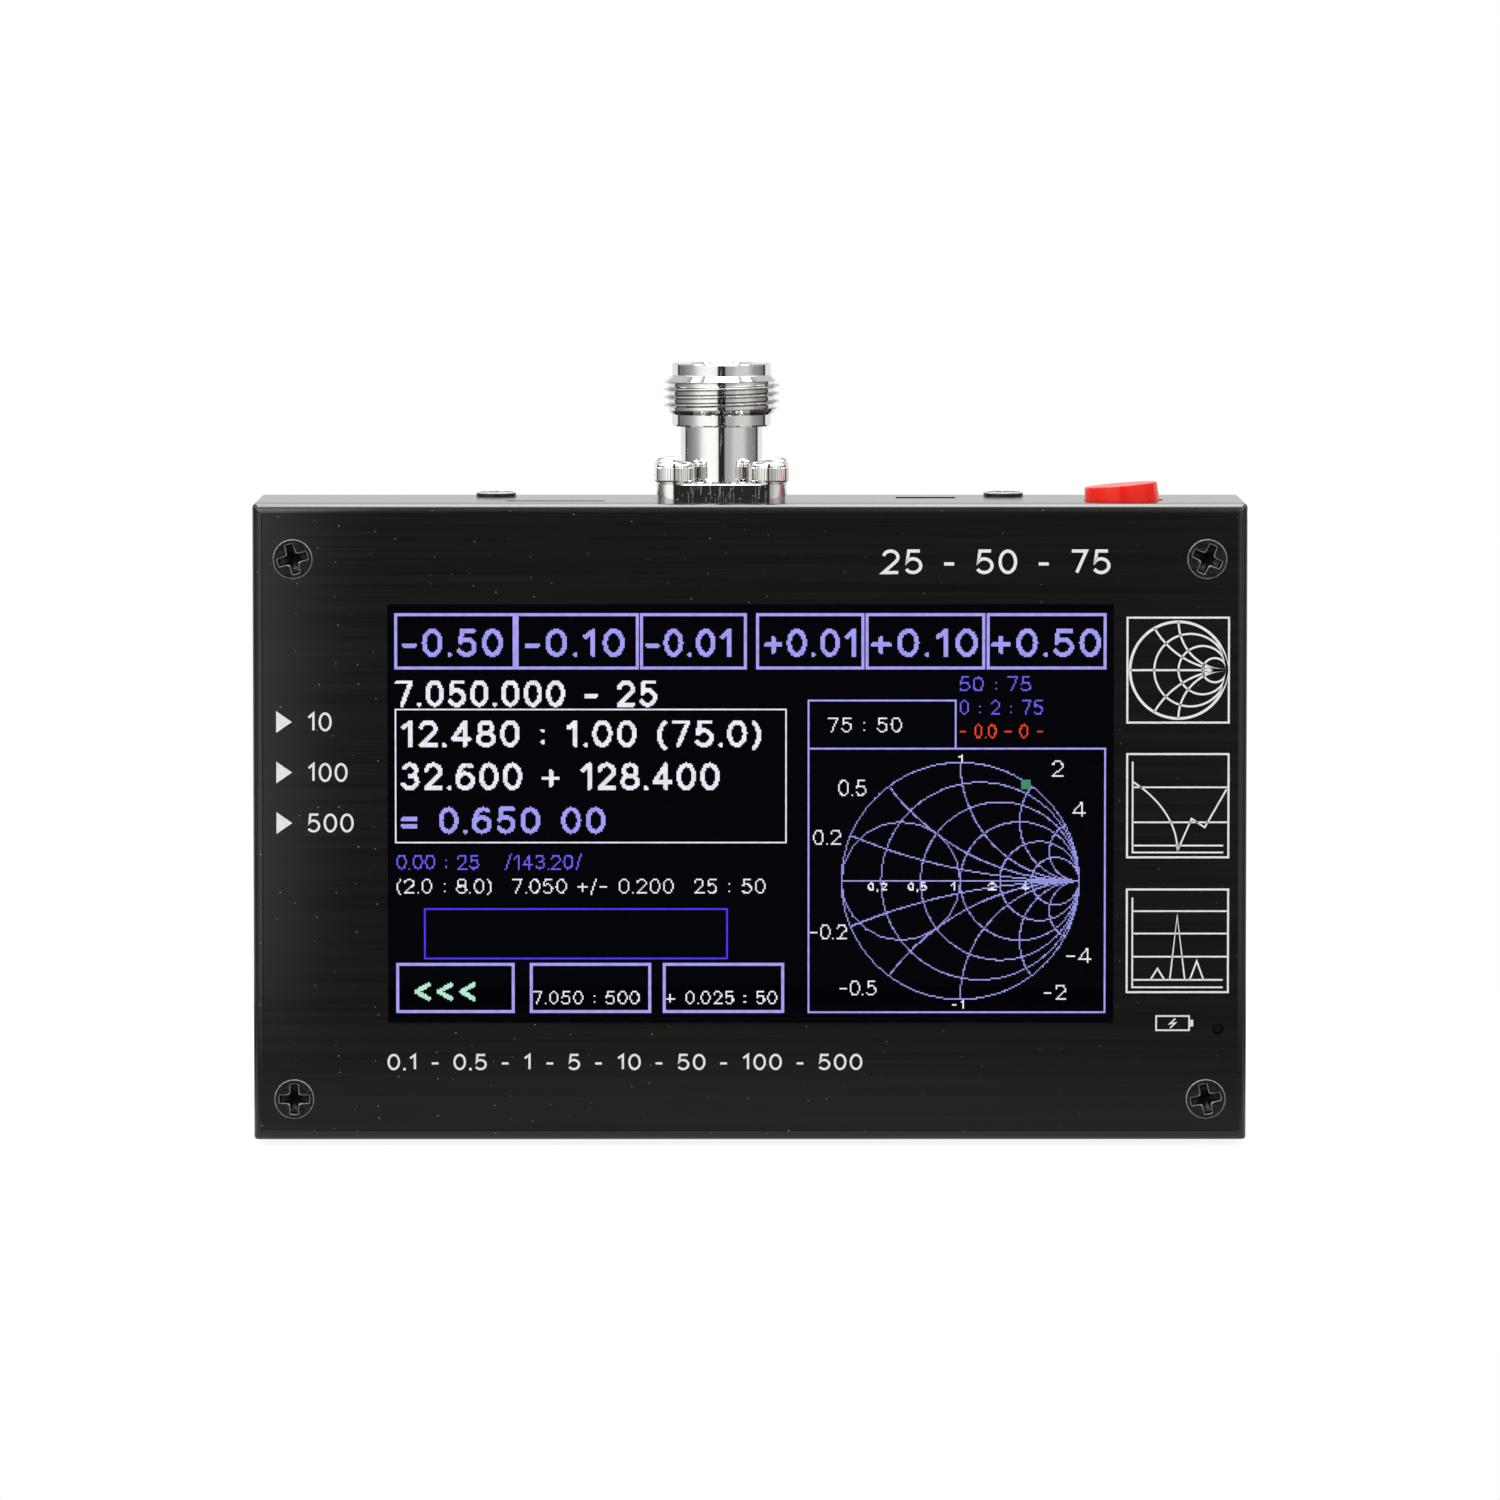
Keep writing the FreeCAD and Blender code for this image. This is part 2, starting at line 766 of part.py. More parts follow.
def cap_screw():
    """A socket-head cap screw pointing down from the origin."""
    outline = [
        (0, -cap_screw_length),
        (m3_radius, -cap_screw_length),
        (m3_radius, 0),
        (cap_screw_head_radius, 0),
        (cap_screw_head_radius, cap_screw_head_height - cap_screw_edge),
        (cap_screw_head_radius - cap_screw_edge, cap_screw_head_height),
        (0, cap_screw_head_height),
    ]
    screw = turned_part(outline, Vector(0, 0, 0))
    key = hex_prism(cap_screw_socket_flats, cap_screw_socket_depth + 1)
    return screw.cut(key.translated(Vector(0, 0, cap_screw_head_height - cap_screw_socket_depth)))


def jack_screws():
    screw = cap_screw()
    return [screw.translated(Vector(x, at(depth), flange_top_z)) for x, depth in jack_screw_places()]


def jack_nuts():
    nut = hex_prism(m3_nut_flats, m3_nut_height)
    nut = nut.cut(Part.makeCylinder(m3_tapped_radius, m3_nut_height))
    low = inner_top_z - m3_nut_height
    return [nut.translated(Vector(x, at(depth), low)) for x, depth in jack_screw_places()]


def header_places():
    """The (x, z) of every header pin, in two upright rows."""
    levels = [header_bottom_z + header_pitch * (i + 0.5) for i in range(header_pins)]
    return [(x, z) for x in header_rows() for z in levels]


def header_strip(x, near, far):
    top = header_bottom_z + header_length
    return block(x, header_width / 2, near, far, header_bottom_z, top)


def header_bars(row_x, reach, near, far):
    """A square bar at each pin of one row, for pins and for the holes that take them."""
    levels = [z for x, z in header_places() if x == row_x]
    return [block(row_x, reach, near, far, z - reach, z + reach) for z in levels]


def header_rows():
    return (jack_x - header_spacing / 2, jack_x + header_spacing / 2)


def header_sockets():
    near = strip_front - header_pin_entry - header_pin_tail
    strips = []
    for x in header_rows():
        holes = header_bars(x, header_hole / 2, near, strip_front + 1)
        strips.append(header_strip(x, board_back, strip_front).cut(holes))
    return strips


def header_pin_strips():
    near = strip_front - header_pin_entry
    far = radio_back + header_pin_tail
    strips = []
    for x in header_rows():
        pins = header_bars(x, header_pin / 2, near, far)
        strips.append(header_strip(x, strip_front, radio_front).fuse(pins).removeSplitter())
    return strips


def radio_board():
    middle = radio_bottom_z + radio_height / 2
    size = (radio_width, radio_height)
    board = rounded_plate(jack_x, middle, *size, radio_front, radio_back, board_corner)
    reach = header_pin / 2 + header_pin_gap
    for x in header_rows():
        board = board.cut(header_bars(x, reach, radio_front - 1, radio_back + 1))
    return board


def shield_can():
    top = board_top_z - can_drop
    bottom = top - can_height
    half = can_width / 2
    far = radio_back + can_depth
    can = block(jack_x, half, radio_back, far, bottom, top)
    bottom += can_wall
    top -= can_wall
    return can.cut(block(jack_x, half - can_wall, radio_back - 1, far - can_wall, bottom, top))


def radio_chips():
    z = board_top_z - can_drop - can_height / 2
    half = radio_chip_side / 2
    far = radio_back + radio_chip_height
    places = (jack_x - radio_chip_spacing, jack_x, jack_x + radio_chip_spacing)
    return [block(x, half, radio_back, far, z - half, z + half) for x in places]


def card_socket():
    """The sprung card socket: a steel box, open at the top, wide enough for the card and its travel."""
    mouth = card_top_z - socket_mouth_drop
    low = card_top_z - card_length - card_stop_gap - socket_back_wall
    body = block(card_x, socket_width / 2, board_back, board_back + socket_depth, low, mouth)
    near = card_centre_depth - card_thickness / 2 - card_gap
    far = card_centre_depth + card_thickness / 2 + card_gap
    slot = block(card_x, card_width / 2 + card_gap, near, far, low + socket_back_wall, mouth + 1)
    return body.cut(slot)


def memory_card():
    near = card_centre_depth - card_thickness / 2
    far = card_centre_depth + card_thickness / 2
    low = card_top_z - card_length
    card = block(card_x, card_width / 2, near, far, low, card_top_z)
    across = [e for e in card.Edges if abs(e.tangentAt(e.FirstParameter).y) > 0.99]
    lower = [e for e in across if e.BoundBox.ZMax < low + 0.001]
    card = card.makeChamfer(card_corner, [e for e in lower if e.BoundBox.XMax < card_x])
    ridge = block(card_x, card_width / 2, far, far + card_ridge, card_top_z - card_ridge_length, card_top_z)
    return card.fuse(ridge).removeSplitter()


def switch_housing():
    """A round cup for the rocker, closed at the bottom, with a foot and two pegs in the main board."""
    cup = upright(rocker_x, rocker_depth, housing_radius, housing_bottom_z, housing_top_z)
    foot_far = board_back + foot_thickness
    foot = block(rocker_x, foot_width / 2, board_back, foot_far, foot_bottom_z, housing_bottom_z + 1)
    pegs = [along_y(x, peg_z, foot_peg_radius, board_front, board_back + 1) for x in peg_places()]
    body = cup.fuse([foot] + pegs)
    well = upright(rocker_x, rocker_depth, housing_bore_radius, housing_floor_z, housing_top_z + 1)
    near = rocker_depth - housing_radius
    far = rocker_depth + housing_radius
    pivot = along_y(rocker_x, pivot_z, pivot_radius + pivot_gap, near, far)
    return body.cut([well, pivot]).removeSplitter()


def power_rocker():
    """The round cap with its skirt and two trunnions, tilted to the side that is pressed down."""
    stand = pivot_drop + rocker_stand
    shoulder = rocker_radius - rocker_taper
    outline = [
        (0, -rocker_skirt),
        (rocker_radius, -rocker_skirt),
        (rocker_radius, pivot_drop),
        (shoulder, stand - rocker_edge),
        (shoulder - rocker_edge, stand),
        (0, stand - rocker_dish),
    ]
    cap = turned_part(outline, Vector(0, 0, 0))
    reach = housing_radius - trunnion_end_gap
    start = Vector(0, -reach, 0)
    rocker = cap.fuse(Part.makeCylinder(pivot_radius, 2 * reach, start, Vector(0, 1, 0)))
    rocker = rocker.removeSplitter()
    rocker.rotate(Vector(0, 0, 0), Vector(0, 1, 0), -rocker_tilt)
    rocker.translate(Vector(rocker_x, at(rocker_depth), pivot_z))
    return rocker


def switch_terminals():
    """Two pins that leave the bottom of the housing and turn forward into the main board."""
    pins = []
    for x in terminal_places():
        half = terminal_width / 2
        near = rocker_depth - terminal_thickness / 2
        far = rocker_depth + terminal_thickness / 2
        low = terminal_z - terminal_thickness / 2
        drop = block(x, half, near, far, low, housing_bottom_z)
        run = block(x, half, board_front - terminal_tail, far, low, low + terminal_thickness)
        pins.append(drop.fuse(run).removeSplitter())
    return pins


def charger_screw_places():
    """Two screws at opposite corners of the charger board."""
    half = charger_width / 2 - charger_hole_inset_x
    low = (charger_x - half, charger_bottom_z + charger_hole_inset_bottom)
    high = (charger_x + half, board_top_z - charger_hole_inset_top)
    return [low, high]


def charger_board():
    middle = charger_bottom_z + charger_height / 2
    size = (charger_width, charger_height)
    board = rounded_plate(charger_x, middle, *size, charger_front, charger_back, board_corner)
    near = charger_front - 1
    far = charger_back + 1
    return board.cut([along_y(x, z, m2_clear_radius, near, far) for x, z in charger_screw_places()])


def charger_standoffs():
    standoff = tapped_standoff(charger_standoff_flats, charger_standoff_length, m2_tapped_radius)
    return [facing_back(standoff, x, charger_back, z) for x, z in charger_screw_places()]


def charger_screws():
    head = (charger_screw_head_radius, charger_screw_head_height)
    screw = cheese_screw(m2_radius, *head, charger_screw_length)
    forward = screw.mirror(Vector(0, 0, 0), Vector(0, 0, 1))
    return [facing_back(forward, x, charger_front, z) for x, z in charger_screw_places()]


def charger_chips():
    z = charger_bottom_z + charger_chip_level
    offset = charger_width / 4
    half = charger_chip_width / 2
    near = charger_front - charger_chip_height
    chip = block(charger_x - offset, half, near, charger_front, z - half, z + half)
    near = charger_front - coil_height
    size = (coil_side, coil_side)
    return [chip, rounded_plate(charger_x + offset, z, *size, near, charger_front, coil_corner)]


def usb_socket():
    near = charger_front - usb_depth
    low = usb_top_z - usb_length
    shell = block(charger_x, usb_width / 2, near, charger_front, low, usb_top_z)
    half = usb_width / 2 - usb_wall
    near += usb_wall
    far = charger_front - usb_wall
    return shell.cut(block(charger_x, half, near, far, low + usb_wall, usb_top_z + 1))


def usb_tongue():
    near = usb_centre_depth - usb_tongue_thickness / 2
    far = usb_centre_depth + usb_tongue_thickness / 2
    low = usb_top_z - usb_length + usb_wall
    return block(charger_x, usb_tongue_width / 2, near, far, low, low + usb_tongue_length)


def battery_pack():
    middle = battery_bottom_z + battery_height / 2
    size = (battery_width, battery_height)
    return rounded_plate(battery_x, middle, *size, battery_front, battery_back, battery_corner)


def battery_tape_pad():
    half = battery_width / 2 - tape_margin
    low = battery_bottom_z + tape_margin
    high = battery_top_z - tape_margin
    return block(battery_x, half, battery_back, cover_front, low, high)


def flat_lead(line, across, width, thickness):
    """A flat lead along a bent line with rounded bends, spread to both sides of the line."""
    headings = [(after - before).normalize() for before, after in zip(line, line[1:])]
    headings = headings[:1] + headings + headings[-1:]
    one_side, other_side = [], []
    for point, arriving, leaving in zip(line, headings, headings[1:]):
        mitre = across.cross(arriving + leaving).normalize()
        offset = mitre * (thickness / 2 / mitre.dot(across.cross(arriving)))
        one_side.append(point + offset)
        other_side.append(point - offset)
    outline = one_side + other_side[::-1] + one_side[:1]
    start = across * (-width / 2)
    face = Part.Face(Part.makePolygon([point + start for point in outline]))
    lead = face.extrude(across * width)
    folds = [e for e in lead.Edges if abs(e.tangentAt(e.FirstParameter).dot(across)) > 0.99]
    middles = [(e, e.Vertexes[0].Point.add(e.Vertexes[1].Point) * 0.5) for e in folds]
    ends = (line[0], line[-1])
    inner = [e for e, middle in middles if all((middle - end).Length > thickness for end in ends)]
    return lead.makeFillet(lead_bend, inner)


def battery_lead():
    """From the battery's upper edge, bent forward to the plug."""
    start_depth = battery_front + battery_thickness / 2
    straight = (plug_bottom_z - battery_top_z) * lead_straight
    line = [
        Vector(charger_x, at(start_depth), battery_top_z),
        Vector(charger_x, at(start_depth), battery_top_z + straight),
        Vector(charger_x, at(plug_centre_depth), plug_bottom_z - straight),
        Vector(charger_x, at(plug_centre_depth), plug_bottom_z),
    ]
    return flat_lead(line, Vector(1, 0, 0), battery_lead_width, battery_lead_thickness)


def battery_plug():
    half = plug_depth / 2
    near = plug_centre_depth - half
    return block(charger_x, plug_width / 2, near, near + plug_depth, plug_bottom_z, plug_top_z)


def battery_socket():
    reach = plug_depth / 2 + plug_gap
    near = plug_centre_depth - reach
    far = plug_centre_depth + reach
    half = plug_width / 2 + plug_gap
    wall = plug_socket_wall
    body = block(charger_x, half + wall, near - wall, charger_front, charger_bottom_z, plug_top_z + 1)
    return body.cut(block(charger_x, half, near, far, charger_bottom_z - 1, plug_top_z + plug_gap))


def power_lead():
    """From the charger board's edge forward to the main board."""
    start_x = charger_x + charger_width / 2 - power_lead_inset
    z = charger_bottom_z + power_lead_level + power_lead_width / 2
    straight = (charger_front - board_back) * lead_straight
    line = [
        Vector(start_x, at(charger_front), z),
        Vector(start_x, at(charger_front - straight), z),
        Vector(power_lead_x, at(board_back + straight), z),
        Vector(power_lead_x, at(board_back), z),
    ]
    return flat_lead(line, Vector(0, 0, 1), power_lead_width, power_lead_thickness)


def parts():
    """Every sub-part by name. A list holds the separate solids of one node."""
    return {
        "front_shell": front_shell(),
        "back_cover": back_cover(),
        "face_screws": face_screws(),
        "cover_screws": cover_screws(),
        "face_standoffs": face_standoffs(),
        "board_screws": board_screws(),
        "display_gasket": display_gasket(),
        "touch_panel": touch_panel(),
        "lcd_panel": lcd_panel(),
        "display_pads": display_pads(),
        "display_flex": display_flex(),
        "flex_socket": flex_socket(),
        "main_board": main_board(),
        "main_board_chips": main_board_chips(),
        "charge_lamp": charge_lamp(),
        "jack_body": jack_body(),
        "jack_insulator": jack_insulator(),
        "jack_contact": jack_contact(),
        "jack_screws": jack_screws(),
        "jack_nuts": jack_nuts(),
        "header_sockets": header_sockets(),
        "header_pin_strips": header_pin_strips(),
        "radio_board": radio_board(),
        "radio_chips": radio_chips(),
        "shield_can": shield_can(),
        "card_socket": card_socket(),
        "memory_card": memory_card(),
        "switch_housing": switch_housing(),
        "power_rocker": power_rocker(),
        "switch_terminals": switch_terminals(),
        "charger_board": charger_board(),
        "charger_standoffs": charger_standoffs(),
        "charger_screws": charger_screws(),
        "charger_chips": charger_chips(),
        "usb_socket": usb_socket(),
        "usb_tongue": usb_tongue(),
        "battery_pack": battery_pack(),
        "battery_tape": battery_tape_pad(),
        "battery_lead": battery_lead(),
        "battery_plug": battery_plug(),
        "battery_socket": battery_socket(),
        "power_lead": power_lead(),
    }


os.makedirs("parts", exist_ok=True)
for name, made in parts().items():
    shape = Part.makeCompound(made) if isinstance(made, list) else made
    shape.exportStep(f"parts/{name}.step")
    print(f"{name}: {len(shape.Solids)} solid(s), {shape.Volume:.1f} mm3, valid {shape.isValid()}")
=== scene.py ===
import bmesh
import bpy
import json
import math
from functools import partial
from itertools import product
from mathutils import Matrix, Vector


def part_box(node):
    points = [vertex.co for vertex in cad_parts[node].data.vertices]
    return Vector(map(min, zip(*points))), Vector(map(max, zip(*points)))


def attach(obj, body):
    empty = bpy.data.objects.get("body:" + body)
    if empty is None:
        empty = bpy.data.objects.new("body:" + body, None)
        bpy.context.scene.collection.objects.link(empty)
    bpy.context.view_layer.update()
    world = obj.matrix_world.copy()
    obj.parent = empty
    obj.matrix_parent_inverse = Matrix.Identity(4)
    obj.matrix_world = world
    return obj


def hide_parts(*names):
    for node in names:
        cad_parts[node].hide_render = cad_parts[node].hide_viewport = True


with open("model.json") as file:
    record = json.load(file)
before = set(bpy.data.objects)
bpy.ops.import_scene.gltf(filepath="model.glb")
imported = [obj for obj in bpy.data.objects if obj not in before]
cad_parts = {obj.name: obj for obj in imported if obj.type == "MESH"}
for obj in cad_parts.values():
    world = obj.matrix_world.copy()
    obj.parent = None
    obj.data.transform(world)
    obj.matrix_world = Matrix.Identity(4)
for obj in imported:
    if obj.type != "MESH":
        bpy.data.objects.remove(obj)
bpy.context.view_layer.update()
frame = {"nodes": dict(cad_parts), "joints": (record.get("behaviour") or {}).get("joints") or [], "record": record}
nodes = frame["nodes"]
mm = 0.001

shellLow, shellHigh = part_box("front_shell")
faceY = shellLow.y
bottomZ = shellLow.z
topZ = shellHigh.z

bench = {}      # holds the node tree that new nodes go to


def feed(node, inputs):
    # links what comes from other nodes and sets the rest
    for key, value in inputs.items():
        if isinstance(value, bpy.types.NodeSocket):
            bench["tree"].links.new(value, node.inputs[key])
        else:
            node.inputs[key].default_value = value


def addNode(kind, inputs=None, **settings):
    node = bench["tree"].nodes.new(kind)
    for key, value in settings.items():
        setattr(node, key, value)
    feed(node, inputs or {})
    return node


def valueOf(kind, inputs=None, **settings):
    return addNode(kind, inputs, **settings).outputs[0]


def maths(operation, *values, clamp=False):
    return valueOf("ShaderNodeMath", dict(enumerate(values)), operation=operation, use_clamp=clamp)


plus, minus, times, over, timesPlus, above, below, larger, absolute = (
    partial(maths, operation) for operation in ("ADD", "SUBTRACT", "MULTIPLY", "DIVIDE", "MULTIPLY_ADD",
                                                "GREATER_THAN", "LESS_THAN", "MAXIMUM", "ABSOLUTE"))


def axes(vector):
    return addNode("ShaderNodeSeparateXYZ", {0: vector}).outputs


def addRamp(value, *stops):
    ramp = addNode("ShaderNodeValToRGB", {"Fac": value})
    points = ramp.color_ramp.elements
    while len(points) < len(stops):
        points.new(0.5)
    for point, (place, colour) in zip(points, stops):
        point.position = place
        point.color = (*colour, 1) if isinstance(colour, tuple) else (colour, colour, colour, 1)
    return ramp.outputs["Color"]


def ranged(value, low, high, toLow=0.0, toHigh=1.0, **settings):
    limits = dict(enumerate((value, low, high, toLow, toHigh)))
    return valueOf("ShaderNodeMapRange", limits, **settings)


def spread(value, low, high):
    # the usual span of a noise, stretched between two limits
    return ranged(value, 0.25, 0.75, low, high)


def noise(place, scale, detail):
    return addNode("ShaderNodeTexNoise", {"Vector": place, "Scale": scale, "Detail": detail}).outputs["Fac"]


def stretched(place, scale):
    return valueOf("ShaderNodeMapping", {"Vector": place, "Scale": scale})


def blend(share, one, other, **settings):
    return addNode("ShaderNodeMix", {0: share, 6: one, 7: other}, data_type="RGBA", **settings).outputs[2]


def cellsOf(place, spacing, **settings):
    # the way to the middle of the nearest cell, and that cell's own number by chance
    cells = addNode("ShaderNodeTexVoronoi", {"Vector": place, "Scale": 1 / (spacing * mm)}, **settings).outputs
    return cells["Distance"], valueOf("ShaderNodeSeparateColor", {0: cells["Color"]})


def bumped(height, strength, distance):
    heights = {"Height": height, "Strength": strength, "Distance": distance * mm}
    return addNode("ShaderNodeBump", heights).outputs["Normal"]


def startMaterial(name):
    material = bench["material"] = bpy.data.materials.new(name)
    material.use_nodes = True
    bench["tree"] = material.node_tree
    return addNode("ShaderNodeTexCoord").outputs["Object"]


def endMaterial(inputs):
    feed(bench["tree"].nodes["Principled BSDF"], inputs)
    return bench["material"]


def startTree(name, inputs):
    tree = bpy.data.node_groups.new(name, "GeometryNodeTree")
    tree.interface.new_socket("Geometry", in_out="OUTPUT", socket_type="NodeSocketGeometry")
    for label, kind in inputs.items():
        tree.interface.new_socket(label, in_out="INPUT", socket_type="NodeSocket" + kind)
    bench["tree"] = tree
    return addNode("NodeGroupInput").outputs


def endTree(geometry, finish):
    real = valueOf("GeometryNodeRealizeInstances", {0: geometry})
    painted = valueOf("GeometryNodeSetMaterial", {"Geometry": real, "Material": finish})
    addNode("NodeGroupOutput", {0: painted})
    return bench["tree"]


def addObject(name, data):
    made = bpy.data.objects.new(name, data)
    bpy.context.scene.collection.objects.link(made)
    return made


def closeMesh(name, work):
    mesh = bpy.data.meshes.new(name)
    work.to_mesh(mesh)
    work.free()
    return mesh


def tidyMesh(mesh, angle):
    work = bmesh.new()
    work.from_mesh(mesh)
    bmesh.ops.remove_doubles(work, verts=work.verts, dist=1e-6)
    bmesh.ops.recalc_face_normals(work, faces=work.faces)
    work.to_mesh(mesh)
    work.free()
    mesh.shade_smooth()
    mesh.set_sharp_from_angle(angle=math.radians(angle))


def addPiece(name, mesh, material=None, body="case", node=None, slot=None):
    # a piece that stands for a node has that node's finish
    piece = addObject(name, mesh)
    mesh.materials.clear()
    mesh.materials.append(material or finishOf[slot])
    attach(piece, body)
    if node:
        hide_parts(node)


loftAngle = 20      # degrees at which an edge of a lofted piece turns sharp


def polarLoft(name, rings, segments):
    # each ring is a radius, or a function of the turn that gives it, a height, and how much bare metal it shows,
    # partly wear and partly painted highlight
    work = bmesh.new()
    wearAndHighlight = work.verts.layers.float.new("wearAndHighlight")
    loops = []
    turns = [2 * math.pi * i / segments for i in range(segments)]
    for radius, height, *wearAndGlint in rings:
        if radius == 0:
            loops.append([work.verts.new((0, 0, height * mm))] * segments)
            continue
        loop = []
        for turn in turns:
            reach = (radius(turn) if callable(radius) else radius) * mm
            loop.append(work.verts.new((reach * math.cos(turn), reach * math.sin(turn), height * mm)))
            loop[-1][wearAndHighlight] = wearAndGlint[0] if wearAndGlint else 0.0
        loops.append(loop)
    for lower, upper in zip(loops, loops[1:]):
        for i in range(segments):
            after = (i + 1) % segments
            around = dict.fromkeys((lower[i], lower[after], upper[after], upper[i]))
            work.faces.new(list(around))
    mesh = closeMesh(name, work)
    tidyMesh(mesh, loftAngle)
    return mesh


def quarterArc(radius, height, bend, steps=7):
    # the rings of a rounded edge, from the side up to the top
    turns = [math.pi / 2 * i / steps for i in range(steps + 1)]
    return [(radius - bend + bend * math.cos(t), height - bend + bend * math.sin(t)) for t in turns]


bends = {"angle": 40, "flat": 10}      # degrees within which faces blend, and square millimetres of a flat


def keepFlats(mesh):
    # large flats stay dead flat, and the bends beside them run into them smoothly
    areas, planes = {}, []
    for face in mesh.polygons:
        plane = (*(round(value, 2) for value in face.normal), round(face.normal.dot(face.center) / mm, 1))
        planes.append(plane)
        areas[plane] = areas.get(plane, 0) + face.area / mm ** 2
    isFlat = [areas[plane] > bends["flat"] for plane in planes]
    around = [[] for _ in mesh.vertices]
    for face in mesh.polygons:
        for corner in face.vertices:
            around[corner].append(face)
    limit = math.cos(math.radians(bends["angle"]))
    normals = []
    for face in mesh.polygons:
        for corner in face.vertices:
            beside = [other for other in around[corner] if other.normal.dot(face.normal) > limit]
            flats = [face] if isFlat[face.index] else [other for other in beside if isFlat[other.index]]
            total = sum((other.normal * (1 if flats else other.area) for other in flats or beside), Vector())
            normals.append(total.normalized())
    mesh.normals_split_custom_set(normals)


def smoothCopy(node, name, slot, change=None):
    # a node's own shape with its bends shaded smooth and its flats kept flat
    mesh = nodes[node].data.copy()
    mesh.name = name
    tidyMesh(mesh, bends["angle"])
    if change:
        change(mesh)
    keepFlats(mesh)
    addPiece(name, mesh, node=node, slot=slot)


# finishes of the inner pieces: two tones or greys, roughness, the grain's fineness, metallic or not, and bump
plainFinishes = {
    "brass": ((0.62, 0.42, 0.14), (0.74, 0.54, 0.22), (0.25, 0.4), 700, 1),
    "zinc_screw": ((0.5, 0.5, 0.48), (0.64, 0.64, 0.6), (0.25, 0.42), 900, 1),
    "foam": (0.012, 0.03, (0.8, 0.95), 2600, 0, 0.5),
    "module_frame": ((0.42, 0.43, 0.44), (0.56, 0.57, 0.58), (0.3, 0.45), 500, 1),
    "flex_film": ((0.55, 0.27, 0.04), (0.68, 0.38, 0.07), (0.3, 0.42), 400),
    "connector_plastic": (0.012, 0.03, (0.45, 0.6), 1500),
    "board_green": ((0.006, 0.07, 0.03), (0.012, 0.12, 0.05), (0.28, 0.4), 260),
    "board_blue": ((0.006, 0.03, 0.14), (0.012, 0.05, 0.22), (0.28, 0.4), 260),
    "chip_black": ((0.014, 0.014, 0.016), (0.028, 0.028, 0.03), (0.5, 0.65), 2400),
    "lamp_clear": ((0.02, 0.018, 0.016), (0.05, 0.045, 0.04), (0.12, 0.2), 1800),
    "bead_white": ((0.72, 0.71, 0.68), (0.8, 0.79, 0.76), (0.35, 0.5), 900),
    "gold_contact": ((0.8, 0.52, 0.16), (0.9, 0.64, 0.24), (0.14, 0.24), 1400, 1),
    "tinned_steel": ((0.55, 0.55, 0.54), (0.7, 0.7, 0.68), (0.22, 0.38), 600, 1),
    "card_black": ((0.012, 0.012, 0.014), (0.026, 0.026, 0.028), (0.4, 0.52), 1600),
    "switch_black": (0.012, 0.024, (0.42, 0.56), 1300),
    "battery_film": ((0.02, 0.07, 0.26), (0.03, 0.1, 0.34), (0.2, 0.34), 220, 0, 0.25),
    "tape_white": ((0.62, 0.61, 0.56), (0.74, 0.73, 0.68), (0.75, 0.9), 2000, 0, 0.4),
    "lead_red": ((0.42, 0.015, 0.012), (0.56, 0.03, 0.02), (0.4, 0.55), 900),
    "plug_white": ((0.66, 0.64, 0.56), (0.76, 0.74, 0.66), (0.4, 0.55), 800),
}


def makeFinish(name, dark, light, rough, grain, metallic=0, bump=0.12):
    place = startMaterial(name)
    fine = noise(place, grain, 5)
    tone = addRamp(noise(place, grain / 9, 2), (0.3, dark), (0.7, light))
    return endMaterial({"Metallic": metallic, "Base Color": tone, "Roughness": spread(fine, *rough),
                        "Normal": bumped(fine, bump, 0.05)})


# lengths in millimetres; the lines are stretched along the first axis, and dust gets rarer to the right
anodised = {
    "dark": (0.0056, 0.0048, 0.0038), "light": (0.011, 0.0098, 0.0082), "rough": (0.14, 0.2),
    "fineLines": (26, 5200, 5200), "broadLines": (7, 900, 900), "lineShares": (0.6, 0.4), "lineDepth": 0.003,
    "bulgeLeft": 0.69, "bulgeRight": 0.26, "bulgeSpan": (46.7, 66.5), "roll": 0.28, "rollSpan": (6.5, 1.5),
    "speck": (0.5, 0.49, 0.47, 1), "speckSpacing": 2.6, "speckSize": 0.031, "speckSpread": 1.4,
    "speckSides": (-45, 70), "speckChance": (-0.55, -0.98), "sideFacing": 0.6, "frontFacing": -0.9,
}


